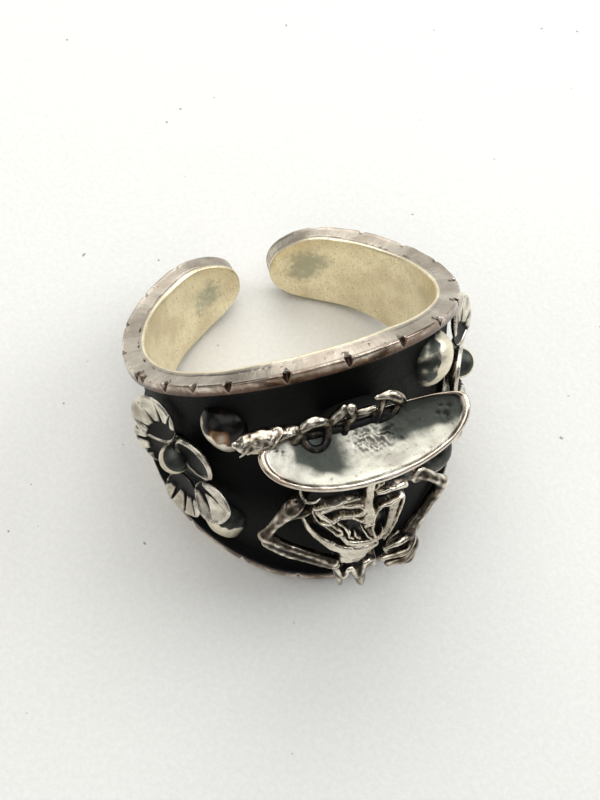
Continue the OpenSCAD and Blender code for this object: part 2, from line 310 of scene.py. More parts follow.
def piece_from(casting, node, materials, recess=0, gain=1.0):
    """One piece from a casting's own surfaces. Soot is what the surfaces say, and more in their recesses."""
    points = seated(np.vstack(casting.points)) if node != "band" else np.vstack(casting.points)
    quads, fans = np.vstack(casting.quads), np.vstack(casting.fans)
    soot = np.concatenate(casting.soot)
    if recess:
        soot = soot + gain * hollow(points, quads, recess)
    flat = np.concatenate([np.vstack(casting.flat).reshape(-1, 2), np.zeros((len(fans) * 3, 2))])
    parts = np.concatenate([np.concatenate(casting.part), np.zeros(len(fans), int)])
    show(new_mesh(node + "_cast", points, (quads, fans), soot, parts, flat), node, materials)


def melted(casting, voxel):
    """The casting's surfaces as one skin, remeshed at the voxel's size in millimetres: points and quads."""
    mesh = bpy.data.meshes.new("melt")
    faces = [tuple(f) for part in (np.vstack(casting.quads), np.vstack(casting.fans)) for f in part.tolist()]
    mesh.from_pydata(seated(np.vstack(casting.points)).tolist(), [], faces)
    melt = put("melt", mesh)
    modifier = melt.modifiers.new("skin", "REMESH")
    modifier.mode = "VOXEL"
    modifier.voxel_size = voxel
    solid = bpy.data.meshes.new_from_object(melt.evaluated_get(bpy.context.evaluated_depsgraph_get()))
    points = np.zeros(len(solid.vertices) * 3)
    solid.vertices.foreach_get("co", points)
    quads = np.zeros(len(solid.polygons) * 4, int)
    solid.polygons.foreach_get("vertices", quads)
    bpy.data.objects.remove(melt)
    return points.reshape(-1, 3), quads.reshape(-1, 4)


def fused_piece(casting, node, materials, voxel, recess, gain, rough, dark, relief=None):
    """One piece from surfaces that melt into one skin, as in a cast, with an uneven surface. Soot is the
    depth of the recesses times gain, plus what dark gives for each place, and full near the wall. A relief is
    a casting that keeps its own points and soot."""
    points, quads = melted(casting, voxel)
    points = averaged(points, quads)
    points = points * (1 + rough * waves(points, 0.7, 31) / from_axis(points))[:, None]
    soot = gain * hollow(points, quads, recess) + dark(points)
    soot = np.maximum(soot, 1 - ease(from_axis(points), FIELD_R + 0.15, FIELD_R + 0.8))
    fans = np.zeros((0, 3), int)
    if relief:
        quads = np.vstack([quads] + [q + len(points) for q in relief.quads])
        fans = np.vstack(relief.fans) + len(points)
        points = np.vstack([points] + [seated(p) for p in relief.points])
        soot = np.concatenate([soot] + relief.soot)
    show(new_mesh(node + "_cast", points, (quads, fans), soot), node, materials)


# Shader maths.

def maths(operation, backwards=False):
    """A method that adds a Math node. backwards takes the other side first."""
    def method(self, other):
        sides = (other, self) if backwards else (self, other)
        return self.finish.node("ShaderNodeMath", {"operation": operation}, *sides)
    return method


class Value:
    """A socket of a material's tree, on which arithmetic adds Math nodes."""
    __add__ = maths("ADD")
    __sub__ = maths("SUBTRACT")
    __rsub__ = maths("SUBTRACT", backwards=True)
    __mul__ = maths("MULTIPLY")
    __radd__ = __add__
    __rmul__ = __mul__

    def __init__(self, finish, socket):
        self.finish, self.socket = finish, socket

    def between(self, low, high):
        """0 below low, 1 above high, with a smooth step between."""
        smooth = {"interpolation_type": "SMOOTHSTEP"}
        return self.finish.node("ShaderNodeMapRange", smooth, self, low, high, 0.0, 1.0)


class Finish:
    """One metal finish: a material whose nodes are added by calls."""

    def __init__(self, name):
        self.material = bpy.data.materials.new(name)
        self.material.use_nodes = True
        self.tree = self.material.node_tree
        self.shader = self.tree.nodes["Principled BSDF"]
        self.place = self.node("ShaderNodeTexCoord", {}, out="Object")

    def plug(self, socket, value):
        """Links a Value to a socket, or sets the socket to a number, a vector or a colour."""
        if isinstance(value, Value):
            self.tree.links.new(value.socket, socket)
        elif value is not None:
            socket.default_value = (*value, 1) if socket.type == "RGBA" else value

    def node(self, kind, settings, *values, out=0, **named):
        """A node of a kind with its settings, and the values or links of its sockets by order or by name."""
        made = self.tree.nodes.new(kind)
        for key, value in settings.items():
            setattr(made, key, value)
        for key, value in list(enumerate(values)) + list(named.items()):
            self.plug(made.inputs[key], value)
        return Value(self, made.outputs[out])

    def attribute(self, name):
        """A number that the mesh holds for each point."""
        return self.node("ShaderNodeAttribute", {"attribute_name": name}, out="Fac")

    def noise(self, size_mm, detail=3.0, rough=0.5, place=None, stretch=(1, 1, 1)):
        """Noise whose grains are about size_mm across, stretched by dividing its scale on each axis."""
        at = place or self.place
        per = 1 / MM if place is None else 1.0
        at = self.node("ShaderNodeVectorMath", {"operation": "MULTIPLY"}, at,
                       tuple(per / (size_mm * s) for s in stretch))
        return self.node("ShaderNodeTexNoise", {}, Vector=at, Scale=1.0, Detail=detail, Roughness=rough)

    def mix(self, factor, a, b):
        """Colour a where the factor is 0, and colour b where it is 1. Its colours are sockets 6 and 7."""
        return self.node("ShaderNodeMix", {"data_type": "RGBA"}, factor, *[None] * 5, a, b, out=2)

    def feed(self, socket, value):
        """A value of the metal itself, by the socket's name."""
        self.plug(self.shader.inputs[socket], value)

    def bump(self, height, depth_mm, under=None):
        """A bump of a height between 0 and 1, depth_mm deep, on top of another bump."""
        return self.node("ShaderNodeBump", {}, Strength=1.0, Distance=depth_mm * MM, Height=height,
                         Normal=under)


PIT_COLOUR = (0.05, 0.045, 0.04)
# Black of soot, and of the painted dark reflection where it is deepest on the hat's brim.
SOOT_AND_SHADE_BLACK = (0.004, 0.0045, 0.004)


def silver(name, tint, shadow, gloss, soot_from, soot_to, scratch=0.004, tarnish=None, tarnish_share=0.5,
           flat=None, grain=0.07, streak=0.35, pits=0.0, pit_from=0.7, pit_size=0.2, dull=None, sheen=0.35,
           depth=0.012, mottle=1.0, soot_rough=0.22):
    """Silver that is bright where it is rubbed and black where soot lies. On the hat's brim the soot level
    also holds painted dark reflection, and on the domes and the bead bare silver is painted where the floor's
    reflection falls.
    Colour: noise between the tint and its shadow, tarnish in soft patches, shadow in the scratches, dull just
    below the level of soot from which it is black. Three noises, times mottle, shift that level. Roughness:
    gloss, more in scratches, and more by soot_rough in soot. Relief: scratches, a soft unevenness and pits
    about pit_size across."""
    f = Finish(name)
    soft = f.noise(2.2, 4.0)
    fine = f.noise(0.35, 5.0, 0.6)
    grit = f.noise(0.09, 3.0, 0.6)
    if flat is None:
        lines = (f.noise(0.12, 3.0, 0.6, stretch=(1, 9, 1)) * 0.5
                 + f.noise(0.1, 2.0, 0.6, stretch=(8, 1, 2)) * 0.5)
    else:
        at = f.node("ShaderNodeUVMap", {"uv_map": "flat"})
        lines = (f.noise(grain, 4.0, 0.65, place=at, stretch=flat) * 0.7
                 + f.noise(grain * 2.2, 3.0, 0.6, place=at, stretch=(flat[0] * 0.4, flat[1] * 2.0, 1)) * 0.3)
    level = f.attribute("soot") + ((fine - 0.5) * 0.35 + (soft - 0.5) * 0.25 + (grit - 0.5) * 0.12) * mottle
    black = level.between(soot_from, soot_to)
    colour = f.mix(soft.between(0.35, 0.7), tint, shadow)
    if tarnish:
        low = 0.55 - 0.3 * tarnish_share
        colour = f.mix((soft * 0.6 + fine * 0.4).between(low, low + 0.2) * tarnish_share, colour, tarnish)
    colour = f.mix(lines.between(0.42, 0.66) * streak, colour, shadow)
    speck = f.noise(pit_size, 2.0, 0.7).between(pit_from, pit_from + 0.05) * pits
    colour = f.mix(speck, colour, PIT_COLOUR)
    if dull:
        colour = f.mix(level.between(soot_from - 0.4, soot_from), colour, dull)
    colour = f.mix(black, colour, SOOT_AND_SHADE_BLACK)
    f.feed("Base Color", colour)
    f.feed("Metallic", 1.0 - black * 0.75)
    uneven = (lines - 0.5) * 0.16 + (fine - 0.5) * 0.14
    f.feed("Roughness", uneven + (black * soot_rough + speck * 0.3) + gloss)
    f.feed("Specular IOR Level", sheen)
    f.feed("Normal", f.bump(1.0 - speck, 0.03, f.bump(fine, depth, f.bump(lines, scratch))))
    return f.material


inside_silver = silver("silver_rubbed_by_the_finger", (0.95, 0.87, 0.64), (0.74, 0.64, 0.44), 0.36, 0.75, 1.7,
                       scratch=0.02, flat=(1.0, 9, 1), grain=0.22, streak=0.55, pits=0.5, pit_from=0.61,
                       pit_size=0.1, dull=(0.46, 0.45, 0.33), mottle=1.6)
rim_silver = silver("silver_of_the_rims", (0.58, 0.53, 0.45), (0.32, 0.285, 0.235), 0.36, 0.45, 0.75,
                    scratch=0.02, tarnish=(0.40, 0.33, 0.27), tarnish_share=0.5, flat=(1.2, 7, 1), grain=0.16,
                    streak=0.6, pits=0.7, pit_from=0.67)
edge_silver = silver("polished_silver_of_the_edges", (0.84, 0.75, 0.65), (0.36, 0.28, 0.21), 0.2, 0.45, 0.8,
                     tarnish=(0.15, 0.09, 0.06), tarnish_share=0.6, dull=(0.13, 0.08, 0.055), flat=(6, 2, 1),
                     grain=0.2, pits=0.8, pit_from=0.64)
field_black = silver("blackened_field", (0.2, 0.22, 0.19), (0.12, 0.14, 0.12), 0.36, 0.2, 0.4, sheen=0.1,
                     depth=0.03)
relief_silver = silver("silver_of_the_figure", (0.96, 0.90, 0.76), (0.68, 0.61, 0.49), 0.19, 0.42, 0.72,
                       tarnish=(0.36, 0.30, 0.22), tarnish_share=0.4, pits=0.2, dull=(0.15, 0.12, 0.09))
# On the hat, the dull colour is the painted dark reflection on the brim's back and sides.
brim_silver = silver("silver_of_the_hat", (0.60, 0.585, 0.50), (0.42, 0.41, 0.36), 0.36, 0.75, 1.1,
                     tarnish=(0.36, 0.32, 0.26), tarnish_share=0.4, pits=0.4, pit_from=0.66,
                     dull=(0.06, 0.066, 0.057), depth=0.04, mottle=0.35)
lip_silver = silver("polished_silver_of_the_lip", (0.92, 0.84, 0.72), (0.62, 0.52, 0.42), 0.2, 0.6, 0.9,
                    tarnish=(0.42, 0.30, 0.23), tarnish_share=0.4)
petal_silver = silver("satin_silver_of_the_flowers", (0.92, 0.87, 0.75), (0.64, 0.59, 0.50), 0.27, 0.45, 0.66,
                      scratch=0.01, tarnish=(0.5, 0.40, 0.30), tarnish_share=0.3, pits=0.25,
                      dull=(0.36, 0.33, 0.27))
# The domes' and the bead's tint is the bare silver painted where the floor's reflection falls.
dome_black = silver("blackened_silver_of_the_domes", (0.95, 0.88, 0.70), (0.62, 0.56, 0.43), 0.42, 0.62, 1.0,
                    tarnish=(0.42, 0.34, 0.22), tarnish_share=0.3, dull=(0.08, 0.088, 0.076), depth=0.025,
                    soot_rough=-0.14)
dome_brown = silver("browned_silver_of_a_dome", (0.97, 0.92, 0.78), (0.66, 0.61, 0.50), 0.4, 0.62, 1.0,
                    dull=(0.19, 0.085, 0.033), depth=0.02, mottle=0.4, soot_rough=-0.16)


# The band.

# Each row of a table: angle from the front in degrees, depth as a share of a full notch.
TOP_PITCH = 18.7
TOP_NOTCHES = ([(-74, 1), (-70, 0.6), (-58, 1), (-46, 0.6), (-34, 1)]
               + [(TOP_PITCH * k - 16, 1) for k in range(10)]
               + [(-74 - TOP_PITCH * k, 1) for k in range(1, 5)])
LOW_PITCH = 20.5
LOW_NOTCHES = [(LOW_PITCH * k, 1) for k in range(-7, 8)]
NOTCH_HALF = 0.22
# Beyond this angle the notches are worn to a share of their depth. Cuts this deep have sharp edges.
WORN_FROM = 85
WORN_SHARE = 0.45
SHARP_CUT = 0.1
# The seam between liner and outer wall, on the flat of the rim: its place, width and depth, how far the outer
# wall stands lower, and the spacing of points across it.
SEAM_R = BORE_R + 0.42
SEAM_W = 0.045
SEAM_DEEP = 0.12
OUTER_LOW = 0.04
SEAM_STEP = 0.03
FLAT_MARGIN = 0.06
# Soot on the border's outside from its edge to the field, for the top (1) and the low (-1) half.
BORDER_SOOT = {1: [0.22, 0.42, 0.6], -1: [0.12, 0.35, 1.0]}
SLOPE_SOOT = [0.3, 1, 1, 1, 1]
# Numbers of points along the band, near each end and between, and the section that gives the flat lengths.
END_STEPS = 34
MIDDLE_STEPS = 760
SAMPLE_SECTION = 440
# The radius that turns angles into flat lengths.
FLAT_R = 10


def notch_cut(angle, table):
    """Depth of the notches at each angle: a V about NOTCH_HALF wide on each side of every row's angle."""
    cut = np.zeros_like(angle)
    for at, share in table:
        away = np.abs(angle - math.radians(at)) * RIM_R
        worn = WORN_SHARE if abs(at) > WORN_FROM else 1
        cut = np.maximum(cut, worn * share * NOTCH_DEPTH * np.clip(1.15 - away / NOTCH_HALF, 0, 1))
    return cut


def full_height(angle):
    """Height of the band: BACK_H, and the rest of FRONT_H times the square of (1 + cos of the angle) / 2."""
    return BACK_H + (FRONT_H - BACK_H) * ((1 + np.cos(angle)) / 2) ** 2


def end_shape(left, inset):
    """How high the band still is, as a share, where that length is left to its end: a superellipse."""
    t = np.clip(1 - (left - inset) / (END_LEN - inset), 0, 1)
    return (1 - t ** END_POWER) ** (1 / END_POWER)


def inner_radius(depth):
    """Radius of the hole's wall at a depth below the edge: a quarter round, then plain."""
    k = np.clip(1 - depth / ROUND_IN, 0, 1)
    return BORE_R + ROUND_IN * (1 - np.sqrt(1 - k ** 2))


def rim_radius(angle):
    """RIM_R, less 0.2 towards the front, where the rim is worn thinner."""
    return RIM_R - 0.2 * ease(np.cos(angle), 0.2, 0.95)


def outer_radius(depth, rim):
    """Radius of the outside at a depth below the edge: a quarter round, the border, a slope and the field."""
    k = np.clip(1 - depth / ROUND_OUT, 0, 1)
    lip = rim - ROUND_OUT * (1 - np.sqrt(1 - k ** 2))
    return lip - (rim - FIELD_R) * ease(depth, BORDER_H - 0.03, BORDER_H + SLOPE_W + 0.05)


# Grey stains inside the hole. Each row: angle in degrees, height, size, strength.
STAINS = [(-158, 0.5, 1.6, 0.65), (159, 0.3, 1.8, 0.7), (-148, -0.6, 1.4, 0.4), (96, -1.5, 2.2, 0.3),
          (148, 1.2, 1.5, 0.4), (-120, 1.5, 1.6, 0.35), (70, 3.0, 1.8, 0.3), (110, 3.0, 1.2, 0.3)]


def stained(angle, z):
    """Soft round stains on the wall of the hole."""
    total = 0
    for at, height, size, share in STAINS:
        away = (angle - math.radians(at)) ** 2 * BORE_R ** 2 + (z - height) ** 2
        total = total + share * np.exp(-away / size ** 2)
    return total


def band_half(angle, left, side):
    """The top (1) or low (-1) half of the band's section at each angle: radius, height above the middle, soot
    and material number. It goes up the hole's wall, over the edge and down the outside to the middle of the
    field."""
    a = angle[:, None]
    half = full_height(a) / 2
    cut = notch_cut(angle, TOP_NOTCHES if side == 1 else LOW_NOTCHES)[:, None]
    quarter = np.linspace(0, 1, 6)[None, :]
    ones = np.ones_like(a)
    rim = rim_radius(a)
    wall = half + (ROUND_IN - half) * quarter[:, 1:]
    inner_round = ROUND_IN * (1 - np.sin(quarter[:, 1:] * math.pi / 2)) * ones
    near_seam = SEAM_R + SEAM_STEP * np.arange(-4, 5)[None, :] * ones
    beyond = np.linspace(0.12, 1, 8)[None, :-1]
    flat_r = np.hstack([BORE_R + ROUND_IN + FLAT_MARGIN * ones, near_seam,
                        SEAM_R + (rim - ROUND_OUT - SEAM_R) * beyond + FLAT_MARGIN * (1 - beyond)])
    # The two halves draw from seeds 3 and 5.
    seed = 4 - side
    spots = polar(a, seed * 7.0, flat_r)
    open_here = 0.25 + ease(waves(spots, 1.1, seed) + 0.5 * waves(spots, 0.3, seed + 1), 0.0, 1.0)
    worn_shut = 0.3 + 0.7 * ease(np.abs(a), 0.9, 1.6)
    seam = worn_shut * open_here * np.exp(-((flat_r - SEAM_R) / SEAM_W) ** 2)
    flat_depth = SEAM_DEEP * seam + OUTER_LOW * ease(flat_r, SEAM_R - 0.05, SEAM_R + 0.05)
    corner = ROUND_OUT + cut
    sharp = np.clip(cut / SHARP_CUT, 0, 1)
    round_down, round_in = 1 - np.cos(quarter * math.pi / 2), 1 - np.sin(quarter * math.pi / 2)
    corner_depth = corner * (round_down * (1 - sharp) + quarter * sharp)
    corner_r = rim - corner * (round_in * (1 - sharp) + (1 - quarter) * sharp)
    border = corner + (BORDER_H - 0.04 - corner) * np.linspace(0, 1, 4)[None, 1:]
    slope = (BORDER_H + np.linspace(-0.02, SLOPE_W + 0.07, 5))[None, :] * ones
    field = slope[:, -1:] + (half - slope[:, -1:]) * np.linspace(0, 1, 14)[None, 1:]
    depth = np.hstack([wall, inner_round, flat_depth, corner_depth, border, slope, field])
    # Near the end of the band the depths are drawn together, so that none goes past the end.
    reach = depth * left[:, None] / (depth ** 4 + left[:, None] ** 4) ** 0.25
    inside, low_part = wall.shape[1] + inner_round.shape[1], slope.shape[1] + field.shape[1]
    outside = border.shape[1] + low_part
    radius = np.hstack([inner_radius(reach[:, :inside]), flat_r, corner_r,
                        outer_radius(reach[:, -outside:], rim)])
    z = (half - reach) * end_shape(left[:, None], reach)
    part = np.repeat([0, 1, 3, 2], [inside, flat_r.shape[1], corner_r.shape[1] + border.shape[1], low_part])
    stain = stained(a, side * (half - wall) * end_shape(left[:, None], reach[:, :wall.shape[1]]))
    soot = np.hstack([stain, 0 * inner_round, 0.9 * seam, np.clip(cut * 1.5, 0, 0.8) + 0 * corner_depth,
                      np.array(BORDER_SOOT[side]) + 0 * border, np.array(SLOPE_SOOT) * ones, 1 + 0 * field])
    return radius, z, soot, part


def band_grid():
    """The whole band: both halves of the section at angles that lie closer together near the two ends."""
    turn = END_LEN / BORE_R
    end = END_LEN * (1 - np.cos(np.linspace(0.03, math.pi / 2, END_STEPS)))[:-1] / BORE_R
    middle = np.linspace(-(END_ANGLE - turn), END_ANGLE - turn, MIDDLE_STEPS)
    angle = np.concatenate([-END_ANGLE + end, middle, END_ANGLE - end[::-1]])
    left = (END_ANGLE - np.abs(angle)) * BORE_R
    r_up, z_up, soot_up, part = band_half(angle, left, 1)
    r_low, z_low, soot_low, _ = band_half(angle, left, -1)
    radius = np.hstack([r_up, r_low[:, ::-1]])
    z = np.hstack([z_up, -z_low[:, ::-1]])
    grid = polar(angle[:, None], z, radius)
    outer = ease(radius, BORE_R + 0.2, BORE_R + 0.6)
    wobble = waves(grid, 4.0, 11) * 0.03 + waves(grid, 1.3, 12) * 0.008
    in_field = ease(RIM_R - radius, 0.3, 0.7)
    grain = waves(grid, 2.6, 14) * 0.03 * in_field
    grid = grid + polar(angle[:, None], 0 * z, outer * (0.5 * wobble + grain))
    edge_share = ease(np.abs(z) / np.maximum(np.abs(z).max(1, keepdims=True), 0.1), 0.85, 1)
    grid[..., 2] += wobble * edge_share * np.sign(z) * ease(left, 0, 1)[:, None]
    steps = np.linalg.norm(np.diff(grid[SAMPLE_SECTION], axis=0), axis=1)
    around = np.concatenate([[0], np.cumsum(steps), [0]])
    around[-1] = around[-2] + 0.5
    soot = np.hstack([soot_up, soot_low[:, ::-1]])
    return grid, soot, np.concatenate([part, part[::-1]]), (angle * FLAT_R, around)


grid, soot, part, lengths = band_grid()
piece_from(Casting().add(grid, soot, part[None, :], lengths), "band",
           [inside_silver, rim_silver, field_black, edge_silver])


# The domes.

DOME_W = 1.5
DOME_L = 2.1
DOME_SINK = 0.3
# A pear's half width is sin t (sin t/2)^TAPER, over the widest that this gets.
TAPER = 0.9
WIDEST = 0.79
# Each row: side, angle in degrees, height of the middle, size as a share, the way to the side that is painted
# bare and bright as a reflection of the floor and how far round that goes, both in degrees, how black the
# rest is, node.
DOMES = [(-1, 39.5, 4.3, 1.0, 244, 102, 1.0, "dome_upper_left"),
         (1, 40, 4.9, 1.08, -34, 124, 0.62, "dome_upper_right"),
         (-1, 47, -5.3, 1.0, 262, 116, 0.9, "dome_lower_left"),
         (1, 46, -5.0, 1.0, -60, 98, 0.8, "dome_lower_right")]
BROWN_DOME = "dome_upper_left"


def painted_reflection_side(shape, centre, radii, way, reach):
    """1 within an angle of a direction along the wall, seen from the middle of a round form, and 0 beyond:
    the side on which a reflection of the floor is painted as bare bright silver.
    """
    place = unit((shape - np.array(centre)) / np.array(radii))
    towards = spun(place[..., 0], place[..., 1], -way)[0]
    return ease(np.degrees(np.arccos(np.clip(towards, -1, 1))), reach + 3, reach - 3)


def dome_grid(side, angle, z, size, seed):
    """A pear turned round its long axis, narrow end down, a little uneven: in its own frame, and in place."""
    t = np.linspace(0.03, math.pi - 0.03, 56)[:, None]
    turn = np.linspace(0, 2 * math.pi, 72, endpoint=False)[None, :]
    half = DOME_W / WIDEST * np.sin(t) * np.sin(t / 2) ** TAPER
    grid = size * xyz(half * np.cos(turn), -DOME_L * np.cos(t), half * np.sin(turn))
    grid = grid[:, ::-1] * (1 + 0.014 * waves(grid, 1.4, seed)[..., None])
    return grid, on_wall(grid, side * angle, z, FIELD_R + 0.03 - DOME_SINK)


for n, (side, angle, z, size, way, reach, black, name) in enumerate(DOMES):
    flat_shape, shape = dome_grid(side, angle, z, size, 40 + n)
    # The side that faces down and out is painted bare and bright as a reflection of the floor; near the field
    # it stays black.
    ragged = reach + 5 * waves(flat_shape, 0.8, 48 + n)
    bright = painted_reflection_side(flat_shape, (0, 0, 0), (size * DOME_W, size * DOME_L, DOME_W), way, ragged)
    bright *= ease(from_axis(shape) - FIELD_R, 0.1, 0.5)
    brown = name == BROWN_DOME
    soot = black + (0.04 if brown else 0.12) * waves(shape, 0.7, 44 + n)
    if brown:
        # A squarish patch above the middle with less soot.
        away = ((flat_shape[..., 0] - 0.2) / 0.6) ** 4 + ((flat_shape[..., 1] - 0.75) / 0.6) ** 4
        soot -= 0.45 * ease(away, 1.0, 0.5)
    finish = dome_brown if brown else dome_black
    piece_from(Casting().add(shape, soot * (1 - bright)), name, [finish])


# The flowers.

PETAL_L = 1.7
PETAL_W = 1.55
PETAL_T = 0.4
FLOWER_ANGLE = 58.5
# Each row: direction from the middle in degrees, distance, how far it stands out, its kind.
PETALS = [(49, 2.35, 0.0, "cup"), (120, 3.4, -0.1, "satin"), (182, 2.45, -0.25, "tips"),
          (267, 2.9, 0.25, "rays"), (325, 3.05, 0.2, "slits")]
# Rings of a petal's upper side, and how many of them are black in the cup, counted from its middle.
PETAL_RINGS = 46
CUP_RINGS = 42
# The slits and the black start from a place near the petal's inner end.
INNER_END = 0.95 * PETAL_L
SMALL_PETAL = 0.86
BEAD = (-0.3, 0.5, 0.3)
# How high each kind's raised edge is.
EDGE_H = {"cup": 0.16, "satin": 0.03, "tips": 0.05, "rays": 0.05, "slits": 0.07}
# For each kind: how far from its inner end a petal is black, and rows of the black fingers that go on from
# there: direction in degrees, length, half width.
SLITS = {"cup": (0.0, []),
         "tips": (2.3, [(-44, 2.9, 0.3), (-24, 3.6, 0.42), (0, 3.9, 0.42), (22, 3.6, 0.4), (44, 2.9, 0.3)]),
         "satin": (1.35, [(-40, 2.4, 0.28), (-16, 2.8, 0.26), (8, 2.3, 0.24), (34, 2.0, 0.28)]),
         "rays": (1.65, [(-42, 2.6, 0.3), (-20, 3.1, 0.3), (3, 3.2, 0.28), (26, 3.0, 0.28), (48, 2.4, 0.3)]),
         "slits": (0.4, [(-20, 2.2, 0.3), (14, 2.3, 0.3)])}
# For each petal in turn: how its surface leans along it and across it.
LEANS = [(0, 0), (-0.2, 0.24), (0, 0), (0.05, 0.05), (0, -0.3)]


def slit_depth(x, y, kind):
    """How deep the petal is cut at a point, 0 to 1: near its inner end, and in fingers that narrow
    outwards."""
    core, fingers = SLITS[kind]
    cut = ease(core - np.hypot(x + INNER_END, y), -0.2, 0.1) if core else np.zeros_like(x)
    for way, length, half in fingers:
        u, v = spun(x + INNER_END, y, -way)
        finger = half * np.clip(1 - u / length, 0, 1) ** 0.7 * (u > 0)
        cut = np.maximum(cut, ease(finger - np.abs(v), -0.03, 0.05))
    return cut


def petal(kind, lean, seed):
    """A petal along X, about its own middle: an oval that turns up at its rim, with a raised edge and cut
    slits. Also its soot: little on top, more where it is cut, and a black middle in the cup."""
    def middle(u, t):
        """An oval with 3 and 5 waves round its edge, raised by the squares of x and y, and tilted."""
        wave = 1 + 0.025 * np.sin(3 * t + seed) + 0.015 * np.sin(5 * t + 2 * seed)
        x, y = PETAL_L * u * np.cos(t) * wave, PETAL_W * u * np.sin(t) * (1 + 0.12 * np.cos(t)) * wave
        return x, y, 0.13 * y ** 2 + 0.08 * x ** 2 + (0.1 + lean[0]) * x + lean[1] * y

    def top(u, t):
        """The middle surface plus half the thickness, the raised edge and the cup's dish, less the cuts."""
        x, y, z = middle(u, t)
        rim = EDGE_H[kind] * np.exp(-((u - 0.9) / 0.07) ** 2)
        dish = -0.12 * (1 - u ** 2) if kind == "cup" else 0 * u
        z = z + PETAL_T / 2 * (1 - 0.9 * u ** 10) + rim + dish - 0.22 * slit_depth(x, y, kind)
        return xyz(x, y, z)

    def under(u, t):
        """The middle surface less half the thickness, which thins out at the edge by the 8th power of u."""
        x, y, z = middle(u, t)
        return xyz(x, y, z - PETAL_T / 2 * (1 - 0.9 * u ** 8))

    grid = plate(top, under, PETAL_RINGS, 128)
    soot = slit_depth(grid[..., 0], grid[..., 1], kind) + (0.2 + 0.1 * waves(grid, 0.8, 70 + int(seed)))
    soot[PETAL_RINGS:] = 0.2
    if kind == "cup":
        soot[:CUP_RINGS] += 0.85 * (1 - np.linspace(0, 1, CUP_RINGS) ** 6)[:, None]
    return grid, soot


def flower(name, z, mirror):
    """Five petals round a bead, on a foot that stands on the wall."""
    cast = Casting()

    def place(points):
        """From the flower's own frame to the ring frame, mirrored for the right one."""
        out = on_wall(points, -FLOWER_ANGLE, z, FIELD_R + 0.6)
        return out * np.array([-1, 1, 1]) if mirror else out

    for n, (way, distance, lift, kind) in enumerate(PETALS):
        grid, soot = petal(kind, LEANS[n], n + 1.0)
        grid = grid * (SMALL_PETAL if kind == "slits" else 1.0)
        x, y = spun(grid[..., 0] + distance, grid[..., 1], way)
        cast.add(place(xyz(x, y, grid[..., 2] + lift)), soot)
    bead = ball(BEAD, (1, 1, 1), 40, 56)
    # The bead is black, with bare bright silver painted on its lower left as a reflection of the floor.
    cast.add(place(bead), 0.85 * (1 - painted_reflection_side(bead, BEAD, (1, 1, 1), 228, 112)), 1)
    cast.add(place(ball((0, 0, -0.4), (1.9, 1.9, 0.45), 16, 40)), 1.0)
    piece_from(cast, name, [petal_silver, dome_black], 10, 3.0)


flower("flower_left", 0.15, False)
flower("flower_right", 1.1, True)


# The hat.

BRIM_A = 6.0
BRIM_B = 2.8
BRIM_BACK = 1.15
BRIM_T = 0.5
BRIM_PLACE = np.array([0.48, -12.1, 5.93])
BRIM_SLOPE = math.radians(30)
# Rings of the brim's upper side, counted from its middle. The lip runs on from the first to the second of
# these rings, over the edge, and the painted dark reflection fades out where it starts.
BRIM_RINGS = 80
LIP_RINGS = (72, 85)
LIP_FADE = 6
# Pits at both ends. Each row: x, y, size, depth.
BRIM_PITS = [(4.6, -0.3, 0.14, 0.12), (4.25, -0.15, 0.1, 0.1), (4.9, 0.05, 0.1, 0.1),
             (4.5, 0.2, 0.08, 0.08), (-4.9, 0.5, 0.15, 0.1), (-4.6, 0.2, 0.1, 0.08)]


def brim_place(points):
    """From the brim's own frame, with Z up through it, to the ring frame."""
    return tipped(points, BRIM_SLOPE) + BRIM_PLACE


def brim_height(u, t):
    """Height of the brim's middle surface: the square of the share of the way to its left and right ends, by
    which they curl up, and the fourth power of the share of the radius."""
    return 0.85 * (u * np.cos(t)) ** 2 + 0.3 * u ** 4


def brim_outline(u, t):
    """The brim from above: an ellipse before its middle and a flatter curve behind it."""
    back = np.sign(np.sin(t)) > 0
    y = np.where(back, BRIM_BACK * u * np.abs(np.sin(t)) ** 0.6, BRIM_B * u * np.sin(t))
    return BRIM_A * u * np.cos(t), y


def brim_top(u, t):
    """A shallow dish with a rounded lip, a crumpled patch and a few pits."""
    x, y = brim_outline(u, t)
    from_edge = (1 - u) * np.hypot(BRIM_A * np.cos(t), BRIM_B * np.sin(t))
    spots = xyz(x, y, 0 * x)
    lip = 0.14 * np.exp(-((from_edge - 0.2) / 0.2) ** 2) * (1 + 0.25 * waves(spots, 1.1, 24))
    patch = np.exp(-((x - 0.5) / 1.4) ** 2 - ((y + 0.35) / 0.8) ** 2)
    crumpled = 0.06 * waves(spots, 0.45, 21) + 0.035 * waves(spots, 0.22, 22)
    uneven = patch * crumpled + 0.03 * waves(spots, 1.6, 23)
    pits = sum(-depth * np.exp(-((x - px) ** 2 + (y - py) ** 2) / size ** 2)
               for px, py, size, depth in BRIM_PITS)
    z = brim_height(u, t) + BRIM_T / 2 * (1 - 0.75 * u ** 24) + lip + (uneven + pits) * ease(u, 1.0, 0.86)
    return xyz(x, y, z)


def brim_under(u, t):
    """The middle surface less half the thickness, which thins out at the edge by the 16th power of u."""
    x, y = brim_outline(u, t)
    return xyz(x, y, brim_height(u, t) - BRIM_T / 2 * (1 - 0.75 * u ** 16))


shape = plate(brim_top, brim_under, BRIM_RINGS, 260)
